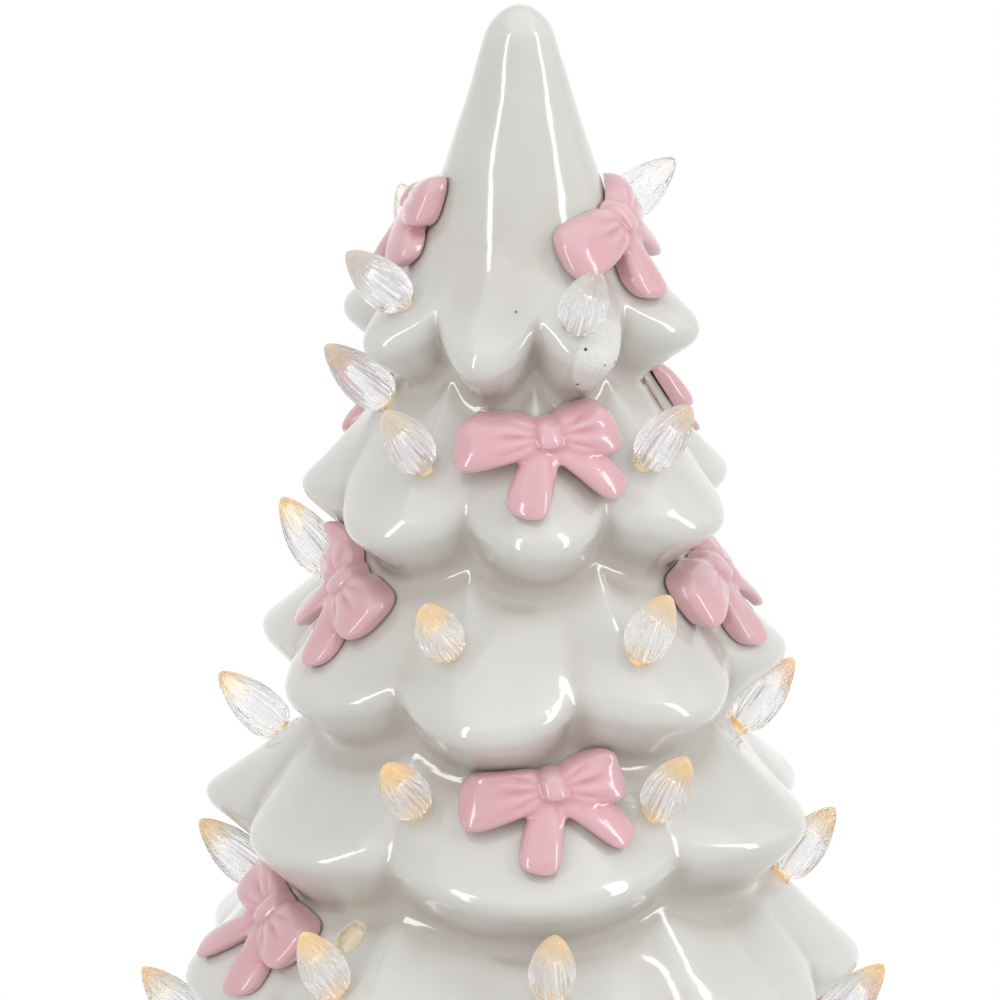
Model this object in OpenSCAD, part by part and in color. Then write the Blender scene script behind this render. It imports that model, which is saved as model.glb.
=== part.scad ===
// A lighted ceramic christmas tree on its own stand.
// All lengths are millimetres. +Z is up, the front of the tree faces -Y, and
// the origin lies at the middle of the face that the stand rests on.
// A place on the tree is given by its azimuth, in degrees from the front
// towards +X, and by its depth below the tip.

/* [Tree] */
// Height of the tree from its rim to its tip
tree_h = 302; // [260:1:360]
// Reach of the lowest leaves from the tree's axis
tree_r = 98; // [90:1:115]
// Thickness of the cast wall
wall = 4.5; // [3:0.1:5]
// Radius of the rounded tip
tip_r = 6.4; // [5:0.1:8]
// Height of the smooth crown above the first leaves
crown_h = 43; // [35:1:55]
// Radius of the crown where the first leaves start
crown_r = 20; // [17:0.5:24]
// Outer radius of the rim that the tree stands on
rim_r = 76; // [72:0.5:80]
// Width of the rim
rim_w = 8; // [6:0.5:10]

/* [Leaves] */
// How far the crease below a tier lies inside its leaf noses
crease_in = 16; // [12:0.5:18]
// Height of the noses above that crease
nose_up = 12.5; // [10:0.5:15]
// How far the valley between two leaves lies inside their noses
valley_in = 12; // [8:0.5:13]
// How far the lower edge rises in such a valley
valley_up = 7; // [5:0.5:10]
// Extra height that a lifted nose can have
leaf_lift = 8; // [0:0.5:9]
// Extra reach that a long leaf can have
leaf_reach = 5; // [0:0.5:6]
// Depth of the hollow in a leaf below the straight line from crease to nose
leaf_hollow = 1; // [0.2:0.1:2]
// How far the sharp corner that a nose is rounded from stands out
corner_out = 1.2; // [0.6:0.1:2]

/* [Bulbs] */
// Widest radius of a bulb
bulb_r = 5.7; // [5:0.1:6.5]
// Length of a bulb above its peg
bulb_len = 20; // [16:0.5:24]
// Radius of the peg in the tree's hole
peg_r = 2.9; // [2.2:0.1:3.4]
// Length of the peg
peg_len = 9; // [8:0.5:11]
// Gap around the peg in its hole
peg_gap = 0.25; // [0.15:0.05:0.4]
// Height of the bulb's shoulder above the glaze
shoulder_gap = 1.5; // [1.2:0.1:2]
// Usual angle that the bulbs point up from level
bulb_tilt = 48; // [35:1:50]

/* [Bows] */
// Half the length of a bow
bow_half = 21; // [18:0.5:24]
// Thickness of a bow's loops
loop_t = 7.5; // [5:0.5:9]
// Radius of the knot
knot_r = 4.6; // [3.5:0.1:6]
// Thickness of the knot
knot_t = 9.5; // [8:0.5:11]
// Thickness of the bow along its edge
bow_edge_t = 1.6; // [1:0.1:2.5]
// Glue gap behind a bow
bow_gap = 0.75; // [0.5:0.05:1]

/* [Stand] */
// Height of the stand from the table to the tree's rim, without the pads
stand_h = 54; // [50:1:60]
// Radius of the stand's foot
foot_r = 77; // [72:1:84]
// Radius of the trunk at its neck
neck_r = 47; // [42:1:52]
// Thickness of the felt ring
felt_t = 2; // [1:0.5:3]
// Width of the flat ring that the felt is glued to
foot_w = 9; // [7:0.5:11]
// Height of the ring that keeps the tree centred
guide_h = 6; // [4:0.5:8]
// Gap between that ring and the tree's rim
guide_gap = 1.5; // [1:0.1:2]
// Thickness of the clear pads under the tree's rim
pad_t = 1; // [0.5:0.1:2]
// Radius of those pads
pad_r = 3; // [2:0.1:4]

/* [Lamp] */
// Height of the lamp stem above the stand
stem_up = 50; // [40:1:60]
// Radius of the lamp stem
stem_r = 9; // [8:0.5:11]
// Wall of the lamp stem
stem_wall = 1.6; // [1.2:0.1:2]
// Radius of the light dome
dome_r = 11; // [10:0.5:12]
// Height of the light dome's straight side
dome_h = 10; // [8:0.5:14]
// Wall of the light dome
dome_wall = 1.2; // [1:0.1:1.5]
// Radius of one light emitter
led_r = 1.8; // [1.5:0.1:2.2]
// Height of one light emitter
led_h = 4; // [3:0.5:5]
// Thickness of the circuit boards
board_t = 1.2; // [0.8:0.1:1.6]
// Radius of a lamp wire
wire_r = 0.8; // [0.6:0.1:1]

/* [Battery box] */
// Radius of one battery
cell_r = 7.1; // [7:0.05:7.25]
// Length of one battery
cell_len = 50.2; // [49:0.1:50.5]
// Space between neighbouring batteries
cell_gap = 0.8; // [0.5:0.1:1.5]
// Wall of the battery well
well_wall = 1.8; // [1.5:0.1:2.5]
// Length that the springs and plates take up at each end
spring_len = 4.5; // [4:0.1:6]
// Thickness of the stand's bottom cover
cover_t = 2.5; // [2:0.1:3]
// Gap around the bottom cover
cover_gap = 0.6; // [0.4:0.1:1]
// Height of the cover's underside above the table
cover_up = 3; // [2.5:0.1:4]
// Thickness of the battery door
door_t = 2; // [1.6:0.1:2.4]
// Gap around the battery door
door_gap = 0.5; // [0.4:0.05:0.8]
// Travel of the switch knob to each side of its middle
switch_travel = 2.5; // [2:0.1:3]

/* [Hidden] */

// Overrun of cuts and of solids that join
over = 0.5;
// Facets of true round parts
$fn = 48;

// Depth of each tier's lower crease below the tip, as a share of the tree's height
tier_depth_shares = [0.308, 0.457, 0.603, 0.735, 0.864, 0.983];
// Reach of each tier's noses, as a share of the lowest tier's
tier_reach_shares = [0.47, 0.58, 0.69, 0.796, 0.9, 1];
// Azimuths of the valleys between the leaves of each tier
valleys = [
  [-78, -36, 7, 47, 100, 145, 190, 236],
  [-73, -17, 28, 88, 136, 187, 238],
  [-84, -32, 15, 68, 118, 170, 222],
  [-79, -29, 36, 91, 145, 194, 243],
  [-96, -51, -9, 32, 72, 118, 167, 216],
  [-70, -22, 22, 70, 118, 165, 212, 250],
];
// Share of the extra height that the nose after each valley has
lift_shares = [
  [-0.2, -0.4, -0.2, 0, 0, 0, 0.3, 0.2],
  [0, 0, 0, 0.3, 0.1, 0.4, 0.2],
  [0.1, 0, 0.2, 0.5, 0, 0.3, 0.7],
  [0.6, 0, 0.8, 0.4, 0, 0.4, 0.5],
  [0.4, 0.3, 0, 0.3, 0, 0.4, 0.1, 0.3],
  [0.2, 0, 0, 0.2, 0.3, 0, 0.3, 0.1],
];
// Share of the extra reach that the nose after each valley has
reach_shares = [
  [0, -0.6, 0, 0.2, 0, 0.1, 0, 0],
  [-0.2, 0, 0.3, 0, 0.2, 0, -0.1],
  [-0.3, 0, -0.2, 0.2, 0, 0.1, 0.6],
  [0.1, -0.2, 0.1, 0, 0.2, 0, 0.8],
  [0, 0, -0.2, 0.2, 0, 0.1, 0, 0],
  [0, 0, 0.2, 0.1, 0, 0.55, -0.3, 0],
];
// Share of a leaf's flank, and of its underside, that the round nose takes
nose_round_share = 0.13;
under_round_share = 0.28;
// How pointed a leaf is seen from above, and how much that point is rounded
point_power = 1.15;
point_round_share = 0.3;
// How full a leaf's lower edge stays towards its valleys
hang_power = 2.2;
// Share of the valley depth that the crease itself has
crease_valley_share = 0.18;
// Share of a lifted nose's height that its crease has
crease_lift_share = 0.3;
// Share of the first tier's flank that still follows the crown's slope
crown_run_share = 0.6;
// How much lower than deep a leaf's hollow lies
hollow_down_share = 0.6;

// Number of columns around the tree
columns = 64;
// Places of the rings along a flank and round a nose
flank_shares = [0.3, 0.64, 1];
nose_shares = [0.34, 0.67, 1];
// Places of the rings along the crown, from the tip down
crown_shares = [0.012, 0.045, 0.1, 0.17, 0.4, 0.7, 1];
tiers = len(valleys);
// Height of the tip above the table
tip_z = stand_h + pad_t + tree_h;

// Index of the leaf at azimuth a in tier k
function leaf_index(k, a) =
  let(first = valleys[k][0], b = first + ((a - first) % 360 + 360) % 360)
  max([for (i = [0 : len(valleys[k]) - 1]) if (valleys[k][i] <= b) i]);

// Place across its leaf of azimuth a in tier k, from -1 to 1
function leaf_across(k, a) =
  let(list = valleys[k], first = list[0], b = first + ((a - first) % 360 + 360) % 360,
      i = leaf_index(k, a), low = list[i],
      high = i == len(list) - 1 ? first + 360 : list[i + 1])
  2 * (b - low) / (high - low) - 1;

// Fall from a leaf's rounded point at place u across it, from -1 to 1
function point_fall(u) = pow(u * u + pow(point_round_share, 2), point_power / 2);

// How far out the leaf at azimuth a in tier k is, from 0 in a valley to 1 on its middle
function leaf_full(k, a) =
  1 - (point_fall(leaf_across(k, a)) - point_fall(0)) / (point_fall(1) - point_fall(0));

// How low the leaf hangs there, from 0 in a valley to 1 on its middle
function leaf_hang(k, a) = 1 - pow(abs(leaf_across(k, a)), hang_power);

// Radius and depth of the crease below tier k, where k = -1 is the crown's lower end
function crease(k, a) =
  k < 0 ? [crown_r, crown_h] :
  let(full = leaf_full(k, a), hang = leaf_hang(k, a),
      lift = lift_shares[k][leaf_index(k, a)] * leaf_lift)
  [
    tree_r * tier_reach_shares[k] - crease_in - valley_in * crease_valley_share * (1 - full),
    tree_h * tier_depth_shares[k] - valley_up * (1 - hang) - crease_lift_share * lift * hang
  ];

// Radius and depth of the corner that a nose of tier k is rounded from
function corner(k, a) =
  let(full = leaf_full(k, a), hang = leaf_hang(k, a), i = leaf_index(k, a))
  [
    tree_r * tier_reach_shares[k] - valley_in * (1 - full)
      + reach_shares[k][i] * leaf_reach * full + corner_out,
    tree_h * tier_depth_shares[k] - nose_up - valley_up * (1 - hang)
      - lift_shares[k][i] * leaf_lift * hang
  ];

function curve(p, q, r, t) = p * (1 - t) * (1 - t) + q * (2 * t * (1 - t)) + r * t * t;

// Points of the crown: a rounded tip that runs into a cone
crown_slope = (crown_r - tip_r) / crown_h;
tip_reach = tip_r * 1.1;
function crown_point(t) =
  let(d = t * crown_h, left = max(1 - d / tip_reach, 0))
  [(tip_r + crown_slope * d) * sqrt(1 - left * left), d];

// Point that pulls the flank of tier k out of the straight line from top to start
function flank_bend(k, top, start, full) =
  let(run = start - top)
  k == 0 ? top + [crown_slope * run[1], run[1]] * crown_run_share
    : top + run / 2 - [leaf_hollow, -leaf_hollow * hollow_down_share] * full;

// Outer points of tier k at azimuth a, from just below the crease above to its own crease
function tier_points(k, a) =
  let(
    top = crease(k - 1, a), low = crease(k, a), out = corner(k, a), full = leaf_full(k, a),
    start = out + (top - out) * nose_round_share,
    end = out + (low - out) * under_round_share,
    bend = flank_bend(k, top, start, full)
  )
  concat(
    [for (t = flank_shares) curve(top, bend, start, t)],
    [for (t = nose_shares) curve(start, out, end, t)],
    [low]
  );

// Inner points of tier k: the wall's thickness inside the outer ones
function tier_inner(k, a) =
  let(top = crease(k - 1, a), low = crease(k, a), out = corner(k, a))
  concat(
    k == 0 ? [top - [wall, 0]] : [],
    [(top + out) / 2 - [wall * 1.5, -wall * 0.4], out - [wall * 2, wall * 0.7]],
    k == tiers - 1 ? [] : [low - [wall, 0]]
  );

function outer_column(a) =
  concat(
    [for (t = crown_shares) crown_point(t)],
    [for (k = [0 : tiers - 1]) each tier_points(k, a)],
    [[rim_r, tree_h]]
  );

// The hollow starts this far below the tip
hollow_depth = tip_r + wall;
function inner_column(a) =
  concat(
    [[rim_r - rim_w, tree_h], [rim_r - rim_w, tree_h - wall * 1.4]],
    [for (k = [tiers - 1 : -1 : 0]) each [for (i = [len(tier_inner(k, a)) - 1 : -1 : 0])
      tier_inner(k, a)[i]]],
    [[tip_r / 2, hollow_depth + wall / 2]]
  );

function place(p, a) = [p[0] * sin(a), -p[0] * cos(a), tip_z - p[1]];

// Faces between two rings of n points that start at p and q
function ring_faces(p, q, n) = [for (i = [0 : n - 1]) let(j = (i + 1) % n)
  each [[p + i, q + j, q + i], [p + i, p + j, q + j]]];
function fan_faces(tip, p, n, turned) = [for (i = [0 : n - 1]) let(j = (i + 1) % n)
  turned ? [tip, p + j, p + i] : [tip, p + i, p + j]];

module tree_body() {
  profile = [for (i = [0 : columns - 1]) let(a = 360 * i / columns)
    concat(outer_column(a), inner_column(a))];
  rings = len(profile[0]);
  ring_points = [for (j = [0 : rings - 1]) for (i = [0 : columns - 1])
    place(profile[i][j], 360 * i / columns)];
  last = rings * columns;
  polyhedron(
    concat(ring_points, [[0, 0, tip_z], [0, 0, tip_z - hollow_depth]]),
    concat(
      [for (j = [0 : rings - 2]) each ring_faces(j * columns, (j + 1) * columns, columns)],
      fan_faces(last, 0, columns, true),
      fan_faces(last + 1, (rings - 1) * columns, columns, false)
    )
  );
}

// Bulbs of each tier: azimuth, place as a share of the way from crease to nose, and how
// much more than usual the bulb points up
bulb_places = [
  [[-54, 0.76, -6], [21, 0.86, 0], [115, 0.34, -12], [-146, 0.9, 0]],
  [[-75, 0.36, -4], [-35, 0.62, 0], [46, 0.63, 0], [178, 0.46, 0]],
  [[-100, 0.36, 8], [-20, 0.58, -4], [33, 0.64, 6], [146, 0.42, 0], [-132, 0.52, 0]],
  [[-104, 0.46, -8], [-26, 0.51, -4], [34, 0.55, 4], [98, 0.28, 2], [178, 0.4, 0]],
  [[-92, 0.27, -4], [-37, 0.66, 8], [6, 0.41, 10], [90, 0.28, 4], [130, 0.4, 0],
    [-170, 0.36, 0], [-130, 0.36, 0]],
  [[-95, 0.54, 0], [-36, 0.36, 0], [48, 0.36, 0], [94, 0.3, 0], [145, 0.36, 0],
    [-178, 0.36, 0], [-122, 0.36, 0]],
];
// Bulb hole without a bulb: tier, and place as above
empty_tier = 4;
empty_place = [-40, 0.22, 0];

// Outer point of tier k at azimuth a, by share of the way from crease to nose
function flank_point(k, a, share) =
  let(top = crease(k - 1, a), out = corner(k, a),
      start = out + (top - out) * nose_round_share)
  curve(top, flank_bend(k, top, start, leaf_full(k, a)), start, share);

module at_bulb(k, spot) {
  p = flank_point(k, spot[0], spot[1]);
  translate(place(p, spot[0]))
    rotate([0, 0, spot[0]]) rotate([90 - bulb_tilt - spot[2], 0, 0]) children();
}

module bulb_hole() {
  translate([0, 0, -peg_len - wall]) cylinder(r = peg_r + peg_gap, h = 2 * peg_len + wall);
}

module tree_shell() {
  color("ivory")
  difference() {
    tree_body();
    for (k = [0 : tiers - 1])
      for (spot = bulb_places[k]) at_bulb(k, spot) bulb_hole();
    at_bulb(empty_tier, empty_place) bulb_hole();
  }
}

// Outline of a bulb in shares of its widest radius and of its length
bulb_outline_shares = [[0.6, 0], [0.82, 0.08], [1, 0.26], [0.93, 0.5], [0.66, 0.78], [0.3, 0.96]];

module bulb() {
  rotate_extrude()
    polygon(concat(
      [[0, -peg_len], [peg_r, -peg_len], [peg_r, shoulder_gap]],
      [for (s = bulb_outline_shares) [s[0] * bulb_r, shoulder_gap + s[1] * bulb_len]],
      [[0, shoulder_gap + bulb_len]]
    ));
}

module bulbs(k) {
  color("white", 0.6)
    for (spot = bulb_places[k]) at_bulb(k, spot) bulb();
}

// A bow's outline round its knot, seen from the front, from straight up over the right
// loop, the right tail, the left tail and the left loop: angle, reach as a share of half
// the bow's length, and thickness as a share of the loops' thickness
bow_outline_shares = [
  [90, 0.27, 0.7], [56, 0.3, 0.75], [40, 0.48, 0.8], [30, 0.7, 0.85], [19, 0.88, 0.9],
  [6, 0.88, 1], [-8, 0.87, 1], [-20, 0.87, 1], [-29, 0.89, 0.9], [-36, 0.88, 0.65],
  [-44, 1.07, 0.6], [-51, 1.14, 0.6], [-58, 1.12, 0.6], [-63, 0.95, 0.6], [-67, 0.62, 0.6],
  [-82, 0.38, 0.6], [-99, 0.38, 0.6], [-105, 0.7, 0.6], [-108, 1.05, 0.6], [-115, 1.14, 0.6],
  [-123, 1.13, 0.6], [-131, 1.06, 0.6], [-139, 0.88, 0.6], [-150, 1, 0.85], [-159, 1.1, 0.95],
  [-171, 1.12, 1], [-184, 1.12, 1], [-197, 1.1, 0.9], [-208, 0.7, 0.85], [-225, 0.36, 0.75],
];
bow_front_shares = [0.24, 0.5, 0.78, 1];
bow_back_shares = [0.28, 0.55, 0.8, 1];
// Lean of a tier's flank from upright
flank_lean = 33;

// Radius of the tree's surface round tier k at azimuth a and depth d, along one of its
// columns and between two of them
function column_r(k, a, d) =
  let(points = concat(
    k > 0 ? tier_points(k - 1, a) : [for (t = crown_shares) crown_point(t)],
    tier_points(k, a)))
  lookup(d, [for (p = points) [p[1], p[0]]]);
column_step = 360 / columns;
function surface_r(k, a, d) =
  let(low = floor(a / column_step) * column_step, high = low + column_step,
      p = column_r(k, low, d), q = column_r(k, high, d))
  p * q * sin(column_step) / (p * sin(a - low) + q * sin(high - a));
// The same, as the highest place near it: a little to each side, above and below
seat_turn_shares = [-0.9, -0.45, 0, 0.45, 0.9];
seat_drop = bow_edge_t / 2;
function seat_r(k, a, d) =
  max([for (turn = seat_turn_shares) for (drop = [-seat_drop, 0, seat_drop])
    surface_r(k, a + turn * column_step, d + drop)]);

// Thickness of a bow at share s of its reach in outline row o: a puffed loop that is drawn
// in to this share of its thickness at the knot
drawn_share = 0.55;
puff_power = 2.6;
function bow_t(o, s) =
  let(q = s * o[1] * bow_half,
      drawn = drawn_share + (1 - drawn_share) * min(q / (2 * knot_r), 1),
      puff = loop_t * o[2] * sqrt(max(1 - pow(s, puff_power), 0)) * drawn,
      knot = q < knot_r ? knot_t * sqrt(1 - pow(q / knot_r, 2)) : 0)
  max(puff, knot, bow_edge_t);

// Point of a bow in tier k: middle at azimuth a and depth d, turned by angle turn
function bow_point(k, a, d, turn, o, s, back) =
  let(q = s * o[1] * bow_half, aside = q * cos(o[0] + turn), up = q * sin(o[0] + turn),
      mid_r = surface_r(k, a, d),
      az = a + aside / (mid_r + loop_t / 2) * 180 / PI,
      depth = d - up * cos(flank_lean),
      seat = seat_r(k, az, depth) + bow_gap,
      line = mid_r - up * sin(flank_lean) + bow_gap)
  place([back ? seat : max(seat + bow_edge_t, line + bow_t(o, s)), depth], az);

module bow(k, a, share, turn) {
  d = flank_point(k, a, share)[1];
  n = len(bow_outline_shares);
  front = [for (s = bow_front_shares) for (o = bow_outline_shares) bow_point(k, a, d, turn, o, s, false)];
  back = [for (s = bow_back_shares) for (o = bow_outline_shares) bow_point(k, a, d, turn, o, s, true)];
  front_mid = bow_point(k, a, d, turn, bow_outline_shares[0], 0, false);
  back_mid = bow_point(k, a, d, turn, bow_outline_shares[0], 0, true);
  rows = len(bow_front_shares);
  first_back = rows * n;
  outer_back = first_back + (len(bow_back_shares) - 1) * n;
  tips = first_back + len(bow_back_shares) * n;
  color("pink")
  polyhedron(
    concat(front, back, [front_mid, back_mid]),
    concat(
      fan_faces(tips, 0, n, false),
      [for (j = [0 : rows - 2]) each ring_faces((j + 1) * n, j * n, n)],
      ring_faces(outer_back, (rows - 1) * n, n),
      [for (j = [1 : len(bow_back_shares) - 1])
        each ring_faces(first_back + (j - 1) * n, first_back + j * n, n)],
      fan_faces(tips + 1, first_back, n, true)
    )
  );
}

// Bows: node name, tier, azimuth, share of the way down the flank, turn
bow_places = [
  ["bow_1_right", 0, 66, 0.23, 14],
  ["bow_1_left", 0, -99, 0.17, 8],
  ["bow_1_back", 0, 170, 0.33, 0],
  ["bow_2_front", 1, 10, 0.33, 3],
  ["bow_2_right", 1, 133, 0.25, -4],
  ["bow_2_left", 1, -133, 0.3, 6],
  ["bow_3_left", 2, -65, 0.22, -24],
  ["bow_3_right", 2, 82, 0.28, 8],
  ["bow_3_back", 2, -171, 0.3, 0],
  ["bow_4_front", 3, 8, 0.15, 8],
  ["bow_4_right", 3, 138, 0.3, -6],
  ["bow_4_left", 3, -139, 0.36, 6],
  ["bow_5_left", 4, -64, 0.17, -22],
  ["bow_5_back", 4, 162, 0.3, 6],
  ["bow_6_front", 5, 4, 0.21, 4],
  ["bow_6_right", 5, 122, 0.3, -6],
  ["bow_6_left", 5, -148, 0.3, 6],
];

// Stand: the foot's and the collar's outlines as shares of the way out from the neck and
// of the height above the felt
foot_outline_shares = [
  [0.95, 0.023], [1, 0.087], [0.967, 0.154], [0.83, 0.21], [0.53, 0.29], [0.23, 0.385],
  [0.067, 0.5], [0, 0.615],
];
collar_outline_shares = [
  [0.06, 0.73], [0.31, 0.83], [0.72, 0.885], [0.95, 0.913], [1, 0.955], [0.95, 1],
];
foot_roll = wall;
foot_flat_r = foot_r - foot_roll;
foot_inner_r = foot_flat_r - foot_w;
stand_run = stand_h - felt_t;
collar_r = rim_r + wall / 2;
deck_t = wall * 1.2;
guide_r = rim_r - rim_w - guide_gap;
guide_edge = guide_h / 6;
lamp_gap = wall / 2;
deck_hole_r = dome_r + dome_wall + lamp_gap;

module ceramic_stand() {
  color("ivory")
  rotate_extrude()
    polygon(concat(
      [[foot_inner_r, felt_t], [foot_flat_r, felt_t]],
      [for (s = foot_outline_shares) [neck_r + s[0] * (foot_r - neck_r), felt_t + s[1] * stand_run]],
      [for (s = collar_outline_shares)
        [neck_r + s[0] * (collar_r - neck_r), felt_t + s[1] * stand_run]],
      [[guide_r, stand_h], [guide_r, stand_h + guide_h - guide_edge],
       [guide_r - guide_edge, stand_h + guide_h], [guide_r - wall, stand_h + guide_h],
       [guide_r - wall, stand_h], [deck_hole_r, stand_h], [deck_hole_r, stand_h - deck_t],
       [neck_r, stand_h - deck_t - wall / 2], [neck_r - wall, stand_h - deck_t - wall * 2],
       [neck_r - wall, felt_t + stand_run * 0.58], [neck_r - wall / 2, felt_t + stand_run * 0.44],
       [foot_inner_r - wall / 2, felt_t + stand_run * 0.21],
       [foot_inner_r, felt_t + stand_run * 0.09]]
    ));
}

felt_margin = foot_w / 18;
module felt_ring() {
  color("dimgray")
  difference() {
    cylinder(r = foot_flat_r - felt_margin, h = felt_t);
    translate([0, 0, -over]) cylinder(r = foot_inner_r + felt_margin, h = felt_t + 2 * over);
  }
}

pad_turns = [30, 150, 270];
module rim_pads() {
  color("white", 0.5)
  for (turn = pad_turns) rotate([0, 0, turn])
    translate([rim_r - rim_w / 2, 0, stand_h]) cylinder(r = pad_r, h = pad_t);
}

// Bottom cover, its battery well and what it carries
plate_t = 0.4;
well_in_len = cell_len + spring_len + 2 * plate_t;
well_in_w = 6 * cell_r + 4 * cell_gap;
well_len = well_in_len + 2 * well_wall;
well_w = well_in_w + 2 * well_wall;
cover_r = foot_inner_r - cover_gap;
cover_top = cover_up + cover_t;
door_top = cover_up + door_t;
cell_z = door_top + cell_gap + cell_r;
well_top_in = cell_z + cell_r + cell_gap;
well_top = well_top_in + well_wall;
cell_pitch = 2 * cell_r + cell_gap;

screw_r = 1.3;
screw_gap = 0.12;
screw_head_r = 2.7;
screw_head_t = 1.3;
screw_len = 8;
ring_w = 8;
ring_h = 6;
ring_r = foot_inner_r - wall / 2;
cover_screw_r = ring_r - ring_w / 2;
cover_screw_turns = [90, 210, 330];

module screw(length) {
  difference() {
    union() {
      cylinder(r = screw_head_r, h = screw_head_t);
      cylinder(r = screw_r, h = length);
    }
    for (turn = [0, 90]) rotate([0, 0, turn])
      cube([screw_head_r, screw_r / 2, screw_head_t], center = true);
  }
}

module mounting_ring() {
  color("gainsboro")
  difference() {
    translate([0, 0, cover_top]) cylinder(r = ring_r, h = ring_h);
    translate([0, 0, cover_top - over]) cylinder(r = ring_r - ring_w, h = ring_h + 2 * over);
    for (turn = cover_screw_turns) rotate([0, 0, turn])
      translate([cover_screw_r, 0, cover_top - over])
        cylinder(r = screw_r + screw_gap, h = screw_len + over);
  }
}

module cover_screws() {
  color("silver")
  for (turn = cover_screw_turns) rotate([0, 0, turn])
    translate([cover_screw_r, 0, cover_up]) screw(screw_len);
}

// The door turns on two pins in the cover, at the -X end of its opening
barrel_r = cover_t / 2;
pin_r = cover_t * 0.3;
pin_gap = 0.06;
pin_len = well_wall;
barrel_x = -well_in_len / 2 + barrel_r + door_gap;
barrel_z = cover_up + barrel_r;
door_end = well_in_len / 2 - door_gap;
door_w = well_in_w - 2 * door_gap;
grip_r = cell_r;
grip_depth = door_t / 2;

module battery_door() {
  color("whitesmoke")
  difference() {
    union() {
      translate([barrel_x, -door_w / 2, cover_up]) cube([door_end - barrel_x, door_w, door_t]);
      translate([barrel_x, 0, barrel_z]) rotate([90, 0, 0])
        cylinder(r = barrel_r, h = door_w, center = true);
      translate([barrel_x, 0, barrel_z]) rotate([90, 0, 0])
        cylinder(r = pin_r, h = door_w + 2 * pin_len, center = true);
    }
    translate([door_end - grip_r, 0, cover_up - over]) cylinder(r = grip_r / 2, h = grip_depth + over);
  }
}

// Slide switch beside the well, with its knob below the cover
switch_y = -(well_w / 2 + 2 * cell_r - wall);
knob_len = 4;
knob_w = 3;
knob_gap = 0.3;
knob_low = cover_up / 2;
knob_high = cover_top + knob_len;
switch_wall = 1;
slot_len = knob_len + 2 * switch_travel + 2 * knob_gap;
slot_w = knob_w + 2 * knob_gap;
switch_top = knob_high + knob_gap + switch_wall;
ear_len = knob_len;

module switch_slot(low, high) {
  translate([-slot_len / 2, switch_y - slot_w / 2, low]) cube([slot_len, slot_w, high - low]);
}

module switch_body() {
  color("black")
  difference() {
    translate([-slot_len / 2 - switch_wall - ear_len, switch_y - slot_w / 2 - switch_wall, cover_top])
      cube([slot_len + 2 * switch_wall + 2 * ear_len, slot_w + 2 * switch_wall, switch_top - cover_top]);
    switch_slot(cover_top - over, knob_high + knob_gap);
    for (side = [-1, 1])
      translate([side * (slot_len / 2 + switch_wall + ear_len), switch_y, switch_top])
        cube([2 * ear_len, well_w, 2 * (switch_top - cover_top - switch_wall)], center = true);
  }
}

module switch_knob() {
  color("dimgray")
  translate([-knob_len / 2, switch_y - knob_w / 2, knob_low])
    cube([knob_len, knob_w, knob_high - knob_low]);
}

// Timer board on two posts behind the well
board_len = 24;
board_w = 12;
post_r = 1.6;
post_h = 2;
timer_y = -switch_y;
// Length, width and height of the timer's chip
chip = [6, 4, 1.5];

module timer_board() {
  color("darkgreen")
  union() {
    translate([-board_len / 2, timer_y - board_w / 2, cover_top + post_h])
      cube([board_len, board_w, board_t]);
    translate([-chip[0] / 2, timer_y - chip[1] / 2, cover_top + post_h + board_t - over])
      cube(chip + [0, 0, over]);
  }
}

// Lamp stem on the roof of the well
flange_r = stem_r + 3 * screw_head_r;
flange_t = 2;
stem_screw_r = stem_r + 1.5 * screw_head_r;
stem_screw_len = screw_head_t + flange_t + well_wall;
stem_top = stand_h + stem_up;
seat_t = 2;
seat_z = stem_top - dome_h / 2;
wire_x = stem_r / 3;
wire_hole_r = wire_r + 2 * screw_gap;

module bottom_cover() {
  color("gainsboro")
  difference() {
    union() {
      translate([0, 0, cover_up]) cylinder(r = cover_r, h = cover_t);
      translate([-well_len / 2, -well_w / 2, cover_up]) cube([well_len, well_w, well_top - cover_up]);
      for (side = [-1, 1])
        translate([side * board_len / 3, timer_y, cover_up]) cylinder(r = post_r, h = cover_t + post_h);
    }
    translate([-well_in_len / 2, -well_in_w / 2, cover_up - over])
      cube([well_in_len, well_in_w, well_top_in - cover_up + over]);
    translate([barrel_x, 0, barrel_z]) rotate([90, 0, 0])
      cylinder(r = pin_r + pin_gap, h = well_in_w + 2 * pin_len, center = true);
    for (turn = cover_screw_turns) rotate([0, 0, turn]) translate([cover_screw_r, 0, cover_up]) {
      translate([0, 0, -over]) cylinder(r = screw_head_r + screw_gap, h = screw_head_t + over);
      cylinder(r = screw_r + screw_gap, h = cover_t + over);
    }
    switch_slot(cover_up - over, cover_top + over);
    for (side = [-1, 1]) {
      translate([side * stem_screw_r, 0, well_top_in - over])
        cylinder(r = screw_r + screw_gap, h = well_wall + 2 * over);
      translate([0, side * wire_x, well_top_in - over])
        cylinder(r = wire_hole_r, h = well_wall + 2 * over);
    }
  }
}

module lamp_stem() {
  color("white")
  difference() {
    union() {
      translate([0, 0, well_top]) cylinder(r = flange_r, h = flange_t);
      translate([0, 0, well_top]) cylinder(r = stem_r, h = stem_top - well_top);
      translate([0, 0, seat_z]) cylinder(r = dome_r, h = seat_t);
    }
    translate([0, 0, well_top - over])
      cylinder(r = stem_r - stem_wall, h = stem_top - well_top + 2 * over);
    for (side = [-1, 1])
      translate([side * stem_screw_r, 0, well_top - over])
        cylinder(r = screw_r + screw_gap, h = flange_t + 2 * over);
  }
}

module stem_screws() {
  color("silver")
  for (side = [-1, 1])
    translate([side * stem_screw_r, 0, well_top + flange_t + screw_head_t])
      rotate([180, 0, 0]) screw(stem_screw_len);
}

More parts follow.
